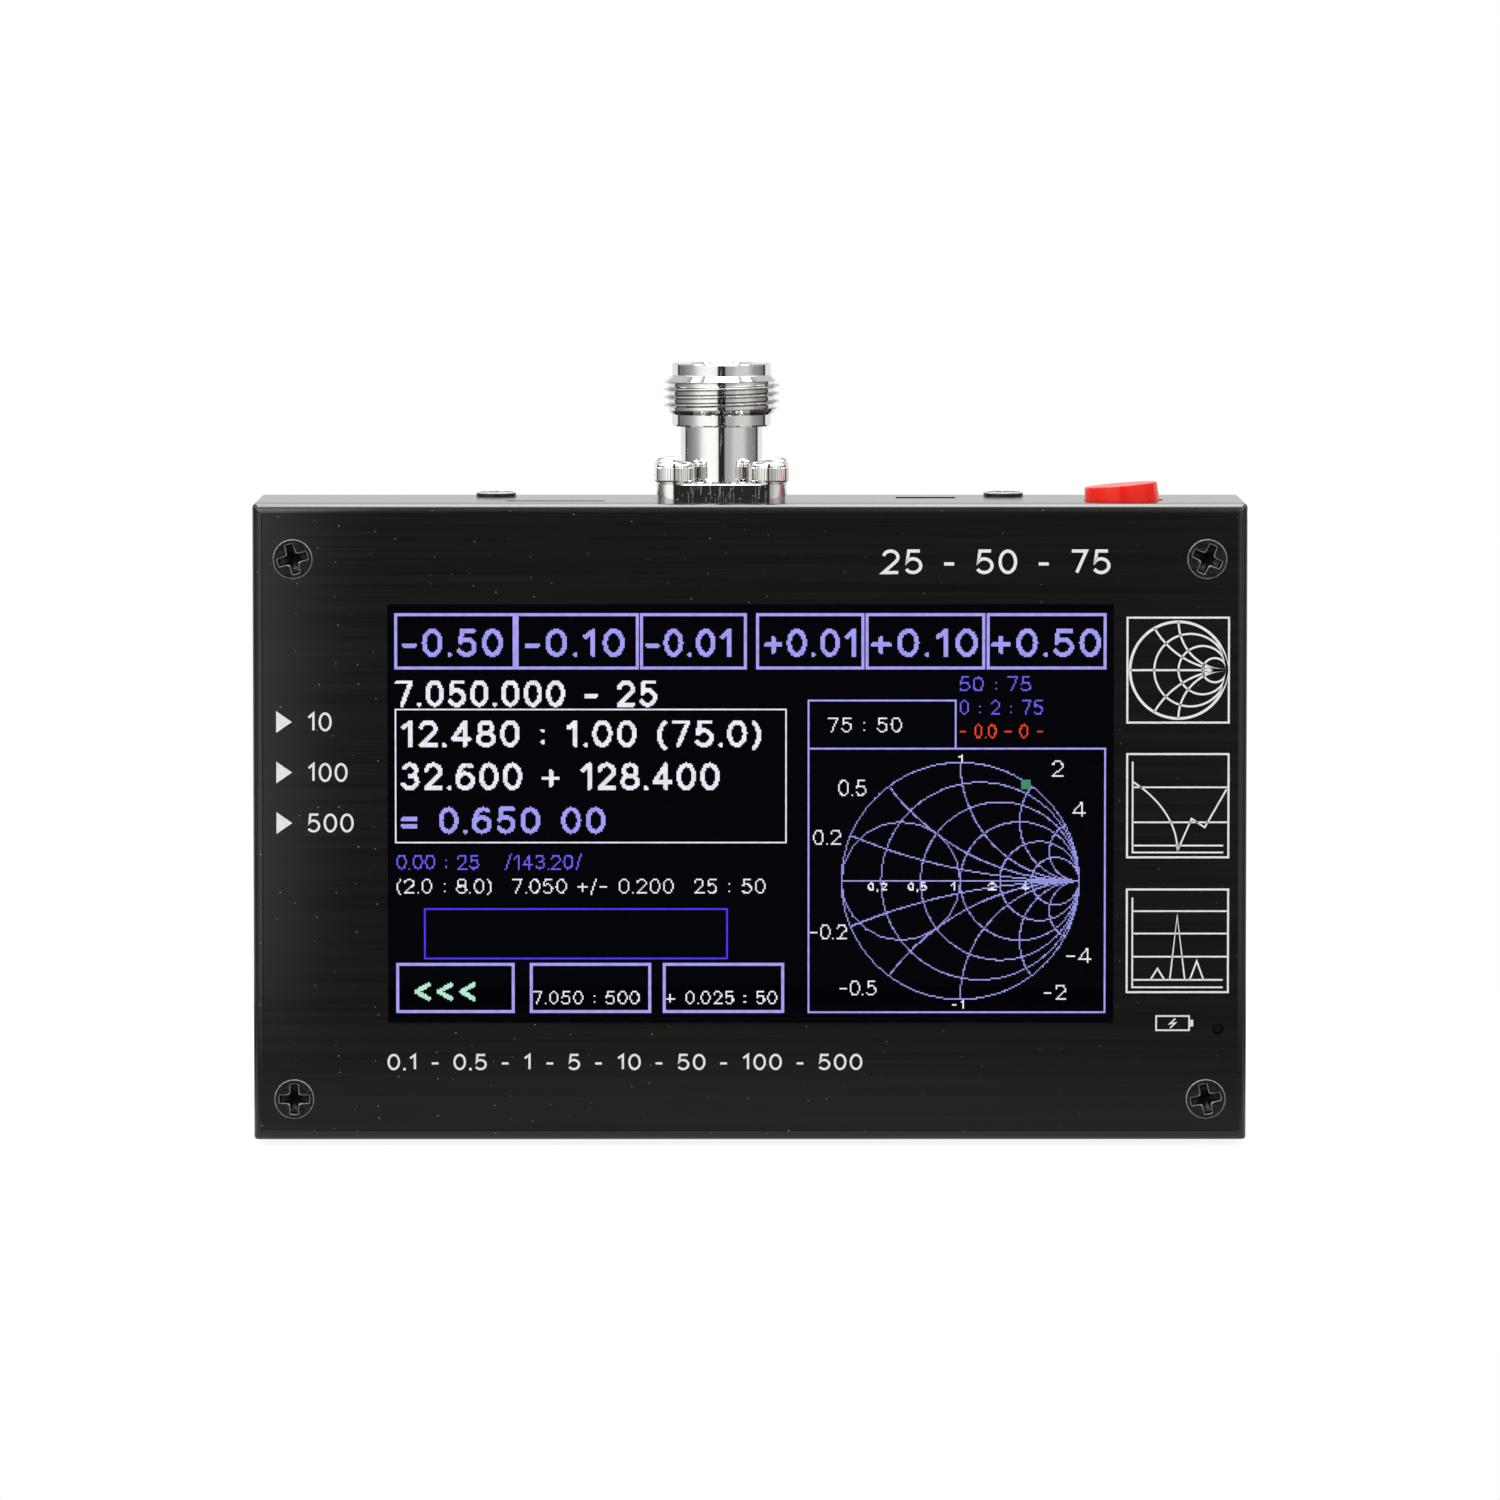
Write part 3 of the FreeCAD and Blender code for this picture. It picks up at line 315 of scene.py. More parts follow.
def anodisedSheet():
    # brushed along the face and round the side walls, with a little dust on the face
    place = startMaterial("anodisedSheet")
    look = anodised
    facing = axes(place.node.outputs["Normal"])
    onSide = above(absolute(facing[0]), look["sideFacing"])
    streaks = []
    for stretch in (look["fineLines"], look["broadLines"]):
        turned = (stretch[1], stretch[0], stretch[2])
        ways = {0: onSide, 4: stretched(place, stretch), 5: stretched(place, turned)}
        streaks.append(noise(addNode("ShaderNodeMix", ways, data_type="VECTOR").outputs[1], 1.0, 3))
    lines = plus(*(times(*pair) for pair in zip(streaks, look["lineShares"])))
    sheet = addRamp(lines, (0.36, look["dark"]), (0.64, look["light"]))
    across, deep, up = axes(place)
    flat = valueOf("ShaderNodeCombineXYZ", {0: across, 1: up})
    distance, chance = cellsOf(flat, look["speckSpacing"], voronoi_dimensions="2D")
    fewer = ranged(across, *(side * mm for side in look["speckSides"]), *look["speckChance"])
    size = times(timesPlus(chance, look["speckSpread"], fewer), look["speckSize"])
    speck = times(below(distance, size), below(facing[1], look["frontFacing"]))
    # the sheet falls away a little beside its left and right bends, and towards the face
    outward = maths("POWER", ranged(absolute(across), *(reach * mm for reach in look["bulgeSpan"])), 2.0)
    most = timesPlus(above(across, 0.0), look["bulgeLeft"] - look["bulgeRight"], -look["bulgeLeft"])
    forward = maths("POWER", ranged(deep, *(faceY + reach * mm for reach in look["rollSpan"])), 2.0)
    height = timesPlus(forward, -look["roll"], times(lines, look["lineDepth"]))
    height = timesPlus(outward, most, height)
    return endMaterial({"IOR": 1.52, "Base Color": blend(speck, sheet, look["speck"]),
                        "Roughness": spread(lines, *look["rough"]), "Normal": bumped(height, 1.0, 1.0)})


# the darkest colour below and its share paint shade on the thread's flanks and the chamfer under it
plating = {
    "cloud": 220, "tones": ((0.8, 0.785, 0.76), (0.88, 0.87, 0.85)), "rough": (0.03, 0.055), "dull": 0.5,
    "used": (0.16, 0.15, 0.14, 1), "paintedShadeShare": 0.8, "speckSpacing": 0.42, "speckSize": 0.42,
    "speckFrom": 0.45, "marks": (4200, 4200, 420), "marksFrom": 0.6, "marksShare": 0.42, "flat": 0.9995,
}


def nickelPlate():
    # bright plating with small dull specks, and the upright marks of the cut on the flats of the flange
    place = startMaterial("nickelPlate")
    look = plating
    cloud = noise(place, look["cloud"], 3)
    tone = addRamp(cloud, *zip((0.3, 0.7), look["tones"]))
    # the thread's flanks and the chamfer under it take a darker colour: painted shade
    used = times(addNode("ShaderNodeAttribute", attribute_name="used").outputs["Fac"], look["paintedShadeShare"])
    distance, chance = cellsOf(place, look["speckSpacing"])
    specks = below(distance, times(minus(chance, look["speckFrom"]), look["speckSize"]))
    facing = axes(place.node.outputs["Normal"])
    onFlat = above(larger(absolute(facing[0]), absolute(facing[1])), look["flat"])
    marks = above(noise(stretched(place, look["marks"]), 1.0, 2), look["marksFrom"])
    dull = larger(specks, times(times(marks, look["marksShare"]), onFlat))
    return endMaterial({"Metallic": 1, "Base Color": blend(used, tone, look["used"]),
                        "Roughness": timesPlus(dull, look["dull"], spread(cloud, *look["rough"]))})


def blackenedSteel():
    # bright bare metal on the edges, partly wear and partly a painted highlight ring
    place = startMaterial("blackenedSteel")
    wearAndGlint = noise(place, 1500, 4)
    tone = addRamp(wearAndGlint, (0.35, 0.008), (0.7, (0.026, 0.025, 0.024)))
    wearAndHighlight = addNode("ShaderNodeAttribute", attribute_name="wearAndHighlight").outputs["Fac"]
    # the bare-metal colour on edges stands partly for wear and partly for a painted highlight
    bareAndHighlight = times(wearAndHighlight, spread(wearAndGlint, 0.45, 1.0))
    return endMaterial({"Metallic": 0.4, "Base Color": blend(bareAndHighlight, tone, (0.62, 0.6, 0.57, 1)),
                        "Roughness": spread(wearAndGlint, 0.22, 0.38), "Normal": bumped(wearAndGlint, 0.2, 0.02)})


def redPlastic():
    # glossy moulded plastic with a faint mottle
    place = startMaterial("redPlastic")
    mottle = noise(place, 700, 4)
    tone = addRamp(mottle, (0.3, (0.92, 0.014, 0.006)), (0.7, (0.99, 0.022, 0.01)))
    return endMaterial({"IOR": 1.45, "Specular IOR Level": 0.35, "Subsurface Weight": 0.03,
                        "Subsurface Radius": (0.002, 0.0004, 0.0002), "Base Color": tone,
                        "Roughness": spread(mottle, 0.22, 0.3), "Normal": bumped(mottle, 0.08, 0.03)})


def displayGlass():
    # clear touch glass with the faintest smears in its polish
    place = startMaterial("displayGlass")
    return endMaterial({"Transmission Weight": 1, "IOR": 1.5, "Base Color": (0.96, 0.97, 0.98, 1),
                        "Roughness": spread(noise(place, 60, 4), 0.0, 0.03)})


def whiteInk():
    # screen-printed ink, not quite even
    place = startMaterial("whiteInk")
    cover = noise(place, 3200, 3)
    tone = addRamp(cover, (0.25, (0.78, 0.78, 0.77)), (0.6, (0.9, 0.9, 0.89)))
    return endMaterial({"IOR": 1.45, "Base Color": tone, "Roughness": spread(cover, 0.45, 0.6)})


def linear(value):
    # a display value from 0 to 255 as light
    value /= 255
    return value / 12.92 if value <= 0.04045 else ((value + 0.055) / 1.055) ** 2.4


def litColour(name, *values, dimmest=0.86):
    # one colour of the lit image, a little uneven as a backlight is
    place = startMaterial(name)
    full = tuple(linear(value) for value in values)
    less = tuple(dimmest * value for value in full)
    glow = addRamp(noise(place, 900, 1), (0.35, less), (0.6, full))
    return endMaterial({"Base Color": (0, 0, 0, 1), "Specular IOR Level": 0.0, "Roughness": 1.0,
                        "Emission Strength": 1.0, "Emission Color": glow})


finishOf = {name: makeFinish(name, *look) for name, look in plainFinishes.items()}
finishOf["anodised_black"] = anodisedSheet()
finishOf["black_screw"] = blackenedSteel()
finishOf["nickel"] = nickelPlate()
finishOf["rocker_red"] = redPlastic()
finishOf["display_glass"] = displayGlass()
for subpart in frame["record"]["subparts"]:
    data = nodes[subpart["node"]].data
    data.materials.clear()
    data.materials.append(finishOf[subpart["material_slot"]])
print("finishes on", len(nodes), "nodes")


camera = {"place": (-0.002, -1.372, 0.1493), "aim": (0.0, -0.014, 0.05305), "lens": 245.3}
eye = addObject("camera", bpy.data.cameras.new("camera"))
eye.data.lens = camera["lens"]
eye.data.sensor_width = 36
eye.location = camera["place"]
eye.rotation_euler = (Vector(camera["aim"]) - eye.location).to_track_quat("-Z", "Y").to_euler()
bpy.context.scene.camera = eye
bpy.context.scene.view_settings.view_transform = "Standard"

overhead = {"across": 0.56, "deep": 0.46, "height": 0.95, "back": 0.17, "radiance": 8.4}


def overheadSoftbox():
    lamp = bpy.data.lights.new("overhead", "AREA")
    lamp.shape = "RECTANGLE"
    lamp.size = overhead["across"]
    lamp.size_y = overhead["deep"]
    lamp.energy = overhead["radiance"] * math.pi * overhead["across"] * overhead["deep"]
    box = addObject("overhead", lamp)
    box.location = (0, overhead["back"], overhead["height"])
    box.visible_camera = False


# light by the way it comes from: degrees to the right of straight ahead, then degrees above the horizon
room = {
    "around": [(-180, 1), (-126, 1), (-122, 0.03), (-118, 0.04), (-115, 0.17), (-96, 0.26), (-80, 0.38),
               (-70, 0.52), (-63, 0.71), (-57, 0.94), (-50, 1.08), (-38, 1.17), (-15, 1.1), (-10, 0.9),
               (-7.5, 0.025), (7.5, 0.025), (10, 0.38), (15, 0.43), (24, 0.48), (30, 0.58), (36, 0.7),
               (60, 0.73), (66, 0.67), (73, 0.53), (80, 0.38), (100, 0.27), (112, 0.2), (117, 0.04),
               (122, 0.04), (126, 1), (180, 1)],
    "frontHeight": [(-90, 0.6), (-20, 1), (22, 1), (28, 3.6), (58, 3.6), (70, 0.6), (90, 0.3)],
    "backHeight": [(-90, 0.88), (12, 0.88), (20, 0.62), (70, 0.62), (80, 0.4), (90, 0.3)],
    "behind": 120,
    "high": {"above": 25, "beside": 95, "least": 0.8},
    "barHeight": [(-90, 0), (24, 0), (30, 0.4), (50, 0.75), (72, 0.75), (76, 0)],
    "bar": {"within": 14, "light": 10},
}


def lightRoom():
    world = bpy.data.worlds.new("room")
    bpy.context.scene.world = world
    world.use_nodes = True
    world.node_tree.nodes.clear()
    bench["tree"] = world.node_tree
    x, y, z = axes(addNode("ShaderNodeTexCoord").outputs["Generated"])
    turn = timesPlus(maths("ARCTAN2", x, times(y, -1)), 0.5 / math.pi, 0.5)
    rise = timesPlus(maths("ARCSINE", z), 1 / math.pi, 0.5)
    around = addRamp(turn, *(((angle + 180) / 360, value) for angle, value in room["around"]))
    front, back, bar = (addRamp(rise, *(((angle + 90) / 180, value) for angle, value in room[name]))
                        for name in ("frontHeight", "backHeight", "barHeight"))
    aside = absolute(minus(turn, 0.5))
    high = room["high"]
    least = times(above(z, math.sin(math.radians(high["above"]))), above(aside, high["beside"] / 360))
    around = larger(around, times(least, high["least"]))
    height = blend(above(aside, room["behind"] / 360), front, back)
    light = blend(1.0, around, height, blend_type="MULTIPLY")
    # a bright bar high behind, which shows in the bend along the top
    onBar = times(bar, above(aside, 0.5 - room["bar"]["within"] / 360))
    strength = timesPlus(onBar, room["bar"]["light"], 1.0)
    lit = valueOf("ShaderNodeBackground", {"Color": light, "Strength": strength})
    white = valueOf("ShaderNodeBackground", {"Color": (1, 1, 1, 1), "Strength": 1.0})
    seen = addNode("ShaderNodeLightPath").outputs["Is Camera Ray"]
    both = valueOf("ShaderNodeMixShader", {0: seen, 1: lit, 2: white})
    addNode("ShaderNodeOutputWorld", {"Surface": both})


floor = {"radius": 0.24, "fadeFrom": 0.03, "fadeTo": 0.228, "paper": 0.17, "lift": 0.89, "far": 1.02,
         "nearFrom": 0.007, "nearTo": 0.02, "nearLight": 0.6}


def paleFloor():
    # a round of matt paper that fades into the white around it
    work = bmesh.new()
    bmesh.ops.create_circle(work, cap_ends=True, segments=96, radius=floor["radius"])
    mesh = closeMesh("floor", work)
    addObject("floor", mesh)
    place = startMaterial("paper")
    distance = addNode("ShaderNodeVectorMath", {0: place}, operation="LENGTH").outputs["Value"]
    fade = ranged(distance, floor["fadeFrom"], floor["fadeTo"], interpolation_type="SMOOTHSTEP")
    lift = timesPlus(fade, floor["far"] - floor["lift"], floor["lift"])
    # the bend along the bottom mirrors the paper just before it
    ray = addNode("ShaderNodeLightPath").outputs
    limits = (floor[key] - faceY for key in ("nearTo", "nearFrom"))
    near = ranged(absolute(axes(place)[1]), *limits, 0, floor["nearLight"])
    seen = larger(times(near, ray["Is Glossy Ray"]), ray["Is Camera Ray"])
    paper = addRamp(fade, (0.0, floor["paper"]), (1.0, 0.0))
    matt = {"Specular IOR Level": 0.0, "Roughness": 1.0, "Base Color": paper, "Emission Color": (1, 1, 1, 1),
            "Emission Strength": times(lift, seen)}
    mesh.materials.append(endMaterial(matt))


overheadSoftbox()
lightRoom()
paleFloor()
print("room, lamp, floor and camera")


case = {"faceBack": 0.02, "printFront": 0.012}


def setFaceBack(mesh):
    # the face steps back by a hair, which leaves room for the ink
    for vertex in mesh.vertices:
        if vertex.co.y < faceY + 0.002 * mm:
            vertex.co.y += case["faceBack"] * mm


smoothCopy("front_shell", "frontShell", "anodised_black", setFaceBack)
smoothCopy("back_cover", "backCover", "anodised_black")
print("case")


def roundedCross(reach, halfArm, softness=3.2):
    # a cross recess as a radius by turn, with soft inner corners
    def radius(turn):
        arms = [min(reach, halfArm / max(abs(wave(turn)), 1e-6)) for wave in (math.sin, math.cos)]
        return sum(arm ** softness for arm in arms) ** (1 / softness)
    return radius


def hexagon(flats):
    return lambda turn: flats / 2 / math.cos((turn + math.pi / 6) % (math.pi / 3) - math.pi / 6)


def knurled(radius, depth, ribs, gap=0.2):
    # flat-topped ribs with narrow gaps between them
    return lambda turn: radius - depth * max(0.0, 1 - abs((turn * ribs / math.tau + 1e-6) % 1 - 0.5) / gap)


# turns in degrees, first bottom left, then top left, bottom right and top right
faceScrew = {"head": 2.66, "shank": 1.45, "length": 4.0, "edge": 0.1, "cross": 2.0, "halfArm": 0.52,
             "depth": 1.65, "rim": 0.05, "sides": 144, "turns": (0, 15, 11, 65)}
coverScrew = {"head": 2.7, "height": 0.64, "stand": 0.799, "shank": 1.45, "length": 5.0, "cross": 1.55,
              "halfArm": 0.45, "depth": 0.8, "sides": 144, "turns": (20, 50)}
capScrew = {"head": 2.68, "foot": 2.15, "footTop": 0.42, "height": 3.0, "shank": 1.45, "length": 6.0,
            "bend": 0.78, "socket": 2.5, "socketDepth": 1.5, "socketEdge": 0.12, "socketTip": 0.4,
            "ribs": 44, "ribFoot": 0.5, "ribDepth": 0.17, "ribSides": 8, "turns": (10, 50, 80, 30)}
screwInset = {"face_screws": 2.7, "cover_screws": 2.7, "jack_screws": 2.75}
# how much the cross widens and its arms thicken, how far under the top, and how much bare metal shows, partly wear
# and partly painted highlight
crossLip = ((0.13, 0.13, 0, 0), (0.06, 0.06, 0, 0.6), (0, 0, 0.06, 0.6), (-0.01, -0.01, 0.1, 0),
            (-0.04, -0.02, 0.3, 0))
# shares of the cross's reach, of its arms and of its depth, then how far its tip goes on
crossFloor = ((0.82, 0.85, 0.7), (0.34, 0.7, 1))
crossTip = 0.7
# share of the head's radius, how far under its top, and how much bare metal shows, partly wear and partly painted
# highlight
coverEdge = ((1, 0.28, 0), (0.965, 0.16, 0.7), (0.9, 0.09, 0.5), (0.78, 0.03, 0))


def crossRecess(size, top):
    reach, half, depth = size["cross"], size["halfArm"], size["depth"]
    rings = [(roundedCross(reach + wider, half + more), top - down, wearAndHighlight)
             for wider, more, down, wearAndHighlight in crossLip]
    rings += [(roundedCross(reach * along, half * arm), top - depth * down)
              for along, arm, down in crossFloor]
    return rings + [(0, top - depth - crossTip)]


def shankRings(size):
    return [(0, -size["length"]), (size["shank"], -size["length"])]


def faceScrewMesh():
    head, edge, shank = faceScrew["head"], faceScrew["edge"], faceScrew["shank"]
    # the rim's chamfer shows bare metal all round, partly wear and partly a painted highlight ring
    rings = shankRings(faceScrew) + [(shank, shank - head), (head, -edge, 1.0), (head - edge, 0, 1.0)]
    rings += [(head - edge - faceScrew["rim"], 0)] + crossRecess(faceScrew, 0)
    return polarLoft("faceScrew", rings, faceScrew["sides"])


def coverScrewMesh(height):
    head = coverScrew["head"]
    rings = shankRings(coverScrew) + [(coverScrew["shank"], 0), (head, 0)]
    rings += [(head * share, height - down, wearAndHighlight) for share, down, wearAndHighlight in coverEdge]
    return polarLoft("coverScrew", rings + crossRecess(coverScrew, height), coverScrew["sides"])


def capScrewMesh():
    size = capScrew
    top, hollow, edge = size["height"], hexagon(size["socket"]), size["socketEdge"]
    floorZ = top - size["socketDepth"]
    ribs = knurled(size["head"], size["ribDepth"], size["ribs"])
    plain = size["head"] - size["ribDepth"] / 2
    rings = shankRings(size) + [(size["shank"], 0), (size["foot"], 0), (plain, size["footTop"])]
    rings += [(ribs, size["ribFoot"]), (ribs, top - size["bend"] - 0.12)]
    rings += quarterArc(plain, top, size["bend"])
    rings += [(hexagon(size["socket"] + 2 * edge), top), (hollow, top - edge), (hollow, floorZ)]
    return polarLoft("capScrew", rings + [(0, floorZ - size["socketTip"])], size["ribs"] * size["ribSides"])


def patternTree():
    inputs = {"Places": "Geometry", "Master": "Object", "Facing": "Vector", "Finish": "Material"}
    given = startTree("setOut", inputs)
    master = addNode("GeometryNodeObjectInfo", {"Object": given["Master"]}).outputs["Geometry"]
    turn = valueOf("GeometryNodeInputNamedAttribute", {"Name": "turn"}, data_type="FLOAT")
    about = valueOf("ShaderNodeCombineXYZ", {2: turn})
    facing, spin = (valueOf("FunctionNodeEulerToRotation", {0: angles})
                    for angles in (given["Facing"], about))
    turned = valueOf("FunctionNodeRotateRotation", {0: facing, 1: spin}, rotation_space="LOCAL")
    copies = {"Points": given["Places"], "Instance": master, "Rotation": turned}
    placed = valueOf("GeometryNodeInstanceOnPoints", copies)
    return endTree(placed, given["Finish"])


def applyTree(name, host, tree, values):
    # runs a tree on a mesh and returns the plain result
    holder = addObject(name, host)
    modifier = holder.modifiers.new("tree", "NODES")
    modifier.node_group = tree
    for item in tree.interface.items_tree:
        if item.name in values:
            modifier[item.identifier] = values[item.name]
    graph = bpy.context.evaluated_depsgraph_get()
    result = bpy.data.meshes.new_from_object(holder.evaluated_get(graph), depsgraph=graph)
    result.name = name
    bpy.data.objects.remove(holder)
    return result


setOut = patternTree()


def placeScrews(name, masterMesh, places, turns, facing, node, slot):
    # one screw at each place, with its recess turned as far as it happened to be driven
    master = addObject("master", masterMesh)
    points = bpy.data.meshes.new(name + "Places")
    points.from_pydata(places, [], [])
    driven = points.attributes.new("turn", "FLOAT", "POINT")
    for value, turn in zip(driven.data, turns):
        value.value = math.radians(turn)
    values = {"Master": master, "Facing": (facing, 0, 0), "Finish": finishOf[slot]}
    mesh = applyTree(name, points, setOut, values)
    bpy.data.objects.remove(master)
    addPiece(name, mesh, node=node, slot=slot)


def screwAxes(node):
    # the x, y and z at which the outermost screws of a node stand
    low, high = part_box(node)
    inset = screwInset[node] * mm
    return [(low[i] + inset, high[i] - inset) for i in range(3)]


sides, _, levels = screwAxes("face_screws")
placeScrews("faceScrews", faceScrewMesh(), [(x, faceY, z) for x in sides for z in levels], faceScrew["turns"],
            math.pi / 2, "face_screws", "black_screw")
sides, depths, _ = screwAxes("cover_screws")
# the case stands on the bottom ones, which are a hair taller
walls = (("topScrews", topZ, 0, "height"), ("bottomScrews", bottomZ, math.pi, "stand"))
for name, level, facing, head in walls:
    places = [(x, depths[0], level) for x in sides]
    placeScrews(name, coverScrewMesh(coverScrew[head]), places, coverScrew["turns"], facing, "cover_screws",
                "black_screw")
sides, depths, _ = screwAxes("jack_screws")
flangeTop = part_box("jack_screws")[1].z - capScrew["height"] * mm
places = [(x, y, flangeTop) for x in sides for y in depths]
placeScrews("capScrews", capScrewMesh(), places, capScrew["turns"], 0, "jack_screws", "nickel")
print("screws")


# millimetres above the foot of the jack, radii, and shares of the pitch for flank, flat and start
jack = {
    "flangeHalf": 8.75, "flangeCorner": 2.4, "flange": 2.3, "flangeEdge": 0.1,
    "neck": 5.5, "neckTop": 9.8, "collar": 6.65, "collarEdge": 0.22, "fillet": 0.12,
    "low": 11.36, "high": 16.66, "root": 7.12, "crest": 7.9, "pitch": 1.058, "ringStep": 0.03,
    "flank": 0.32, "flat": 0.05, "blank": 0.85, "start": 0.1, "under": 0.45,
    "rimEdge": 0.16, "mouthEdge": 0.25, "bore": 4.05, "seat": 9.13, "line": 3.5, "sides": 192,
}
threadLengths = ("Low", "High", "Collar", "Root", "Crest", "Pitch", "Blank", "Under")
threadShares = ("Flank", "Flat", "Start")
blankSlope = 5000.0


def roundedSquare(half, corner):
    centre = (half - corner) * math.sqrt(2)

    def radius(turn):
        away = abs((turn + math.pi / 4) % (math.pi / 2) - math.pi / 4)
        if half * math.tan(away) <= half - corner:
            return half / math.cos(away)
        swing = math.pi / 4 - away
        return centre * math.cos(swing) + math.sqrt(corner ** 2 - (centre * math.sin(swing)) ** 2)
    return radius


def jackBodyMesh():
    size = jack
    height = (jackHigh.z - jackLow.z) / mm
    flange, edge, corner, fillet = (size[key] for key in ("flange", "flangeEdge", "flangeCorner", "fillet"))
    neck, neckTop, collar, bore = (size[key] for key in ("neck", "neckTop", "collar", "bore"))
    flat = roundedSquare(size["flangeHalf"], corner)
    less = roundedSquare(size["flangeHalf"] - edge, corner - edge)
    rings = [(size["line"], 0), (flat, 0), (flat, flange - edge), (less, flange), (neck + fillet, flange)]
    rings += [(neck, flange + fillet), (neck, neckTop), (collar - size["collarEdge"], neckTop)]
    rings += [(collar, neckTop + size["collarEdge"])]
    count = round((size["high"] - size["low"]) / size["ringStep"])
    rings += [(collar, size["low"] + size["ringStep"] * i) for i in range(count + 1)]
    rings += [(collar, height - size["rimEdge"]), (collar - size["rimEdge"], height)]
    rings += [(bore + size["mouthEdge"], height), (bore, height - size["mouthEdge"]), (bore, size["seat"])]
    rings += [(size["line"], size["seat"]), (size["line"], 0)]
    return polarLoft("jackBody", rings, size["sides"])


def threadTree():
    # cuts a right-hand thread on a round body that stands on its axis, between two heights
    numbers = dict.fromkeys(threadLengths + threadShares, "Float")
    given = startTree("thread", {"Body": "Geometry", **numbers, "Finish": "Material"})
    x, y, z = axes(valueOf("GeometryNodeInputPosition"))
    flat = valueOf("ShaderNodeCombineXYZ", {0: x, 1: y})
    radius = addNode("ShaderNodeVectorMath", {0: flat}, operation="LENGTH").outputs["Value"]
    turn = timesPlus(maths("ARCTAN2", y, x), -1 / math.tau, given["Start"])
    away = absolute(minus(maths("FRACT", plus(over(z, given["Pitch"]), turn)), 0.5))
    up = over(minus(given["Flank"], away), minus(given["Flank"], given["Flat"]), clamp=True)
    toTop = minus(given["High"], z)
    # full height almost at once where the blank zone under the rim begins
    fill = times(minus(given["Blank"], toTop), blankSlope, clamp=True)
    wanted = plus(given["Root"], times(minus(given["Crest"], given["Root"]), larger(up, fill)))
    for run in (toTop, minus(z, given["Low"])):
        wanted = maths("MINIMUM", wanted, plus(given["Collar"], run))
    inside = times(above(toTop, 0.0), above(z, given["Low"]))
    chosen = times(inside, above(radius, times(given["Collar"], 0.95)))
    share = minus(over(wanted, radius), 1.0)
    moved = valueOf("ShaderNodeVectorMath", {0: flat, "Scale": share}, operation="SCALE")
    moves = {"Geometry": given["Body"], "Selection": chosen, "Offset": moved}
    cut = valueOf("GeometryNodeSetPosition", moves)
    # the flanks and the chamfer under the thread are marked for a darker colour, which is painted shade
    flank = times(minus(1.0, absolute(timesPlus(up, 2.0, -1.0))), minus(1.0, fill))
    under = below(z, plus(given["Low"], given["Under"]))
    marks = {"Geometry": cut, "Name": "used", "Value": times(larger(flank, under), chosen)}
    marked = valueOf("GeometryNodeStoreNamedAttribute", marks, data_type="FLOAT", domain="POINT")
    return endTree(marked, given["Finish"])


def makeJack():
    values = {name: jack[name.lower()] * mm for name in threadLengths}
    values.update({name: jack[name.lower()] for name in threadShares}, Finish=finishOf["nickel"])
    body = applyTree("jackBody", jackBodyMesh(), threadTree(), values)
    tidyMesh(body, loftAngle)
    # every turn of the thread is shaded smooth
    for edge in body.edges:
        heights = [body.vertices[i].co.z / mm for i in edge.vertices]
        if min(heights) > jack["low"] + 0.01 and max(heights) < jack["high"] - jack["blank"] + 0.05:
            edge.use_edge_sharp = False
    middle = (jackLow + jackHigh) / 2
    body.transform(Matrix.Translation((middle.x, middle.y, jackLow.z)))
    addPiece("jackBody", body, node="jack_body", slot="nickel")


jackLow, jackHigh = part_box("jack_body")
makeJack()
smoothCopy("jack_insulator", "jackBead", "bead_white")
smoothCopy("jack_contact", "jackContact", "gold_contact")
print("jack")


rocker = {"radius": 5.0, "skirt": 3.2, "stand": 4.6, "flare": 0.12, "drop": 2.5, "bend": 0.2, "dish": 0.15,
          "dishRings": (0.85, 0.7, 0.5, 0.25, 0), "sides": 128, "pin": 0.7, "pinSides": 32, "tilt": 4.8}


def makeRocker():
    size = rocker
    top = size["radius"] - size["flare"]
    rings = [(0, -size["skirt"]), (size["radius"], -size["skirt"]), (size["radius"], size["drop"])]
    rings += quarterArc(top, size["stand"], size["bend"])
    inner = top - size["bend"]
    rings += [(inner * k, size["stand"] - size["dish"] * (1 - k * k)) for k in size["dishRings"]]
    cap = polarLoft("rockerCap", rings, size["sides"])
    low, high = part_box("power_rocker")
    reach = (high.y - low.y) / 2 / mm
    pinRings = [(0, -reach), (size["pin"], -reach), (size["pin"], reach), (0, reach)]
    pin = polarLoft("rockerPin", pinRings, size["pinSides"])
    pin.transform(Matrix.Rotation(math.pi / 2, 4, "X"))
    pivot = next(joint["pos_m"] for joint in frame["joints"] if joint["name"] == "power_rocker_tilt")
    turned = Matrix.Translation(pivot) @ Matrix.Rotation(math.radians(-size["tilt"]), 4, "Y")
    for name, mesh in (("rockerCap", cap), ("rockerPin", pin)):
        mesh.transform(turned)
        addPiece(name, mesh, None, "rocker", "power_rocker", "rocker_red")


makeRocker()
print("rocker")


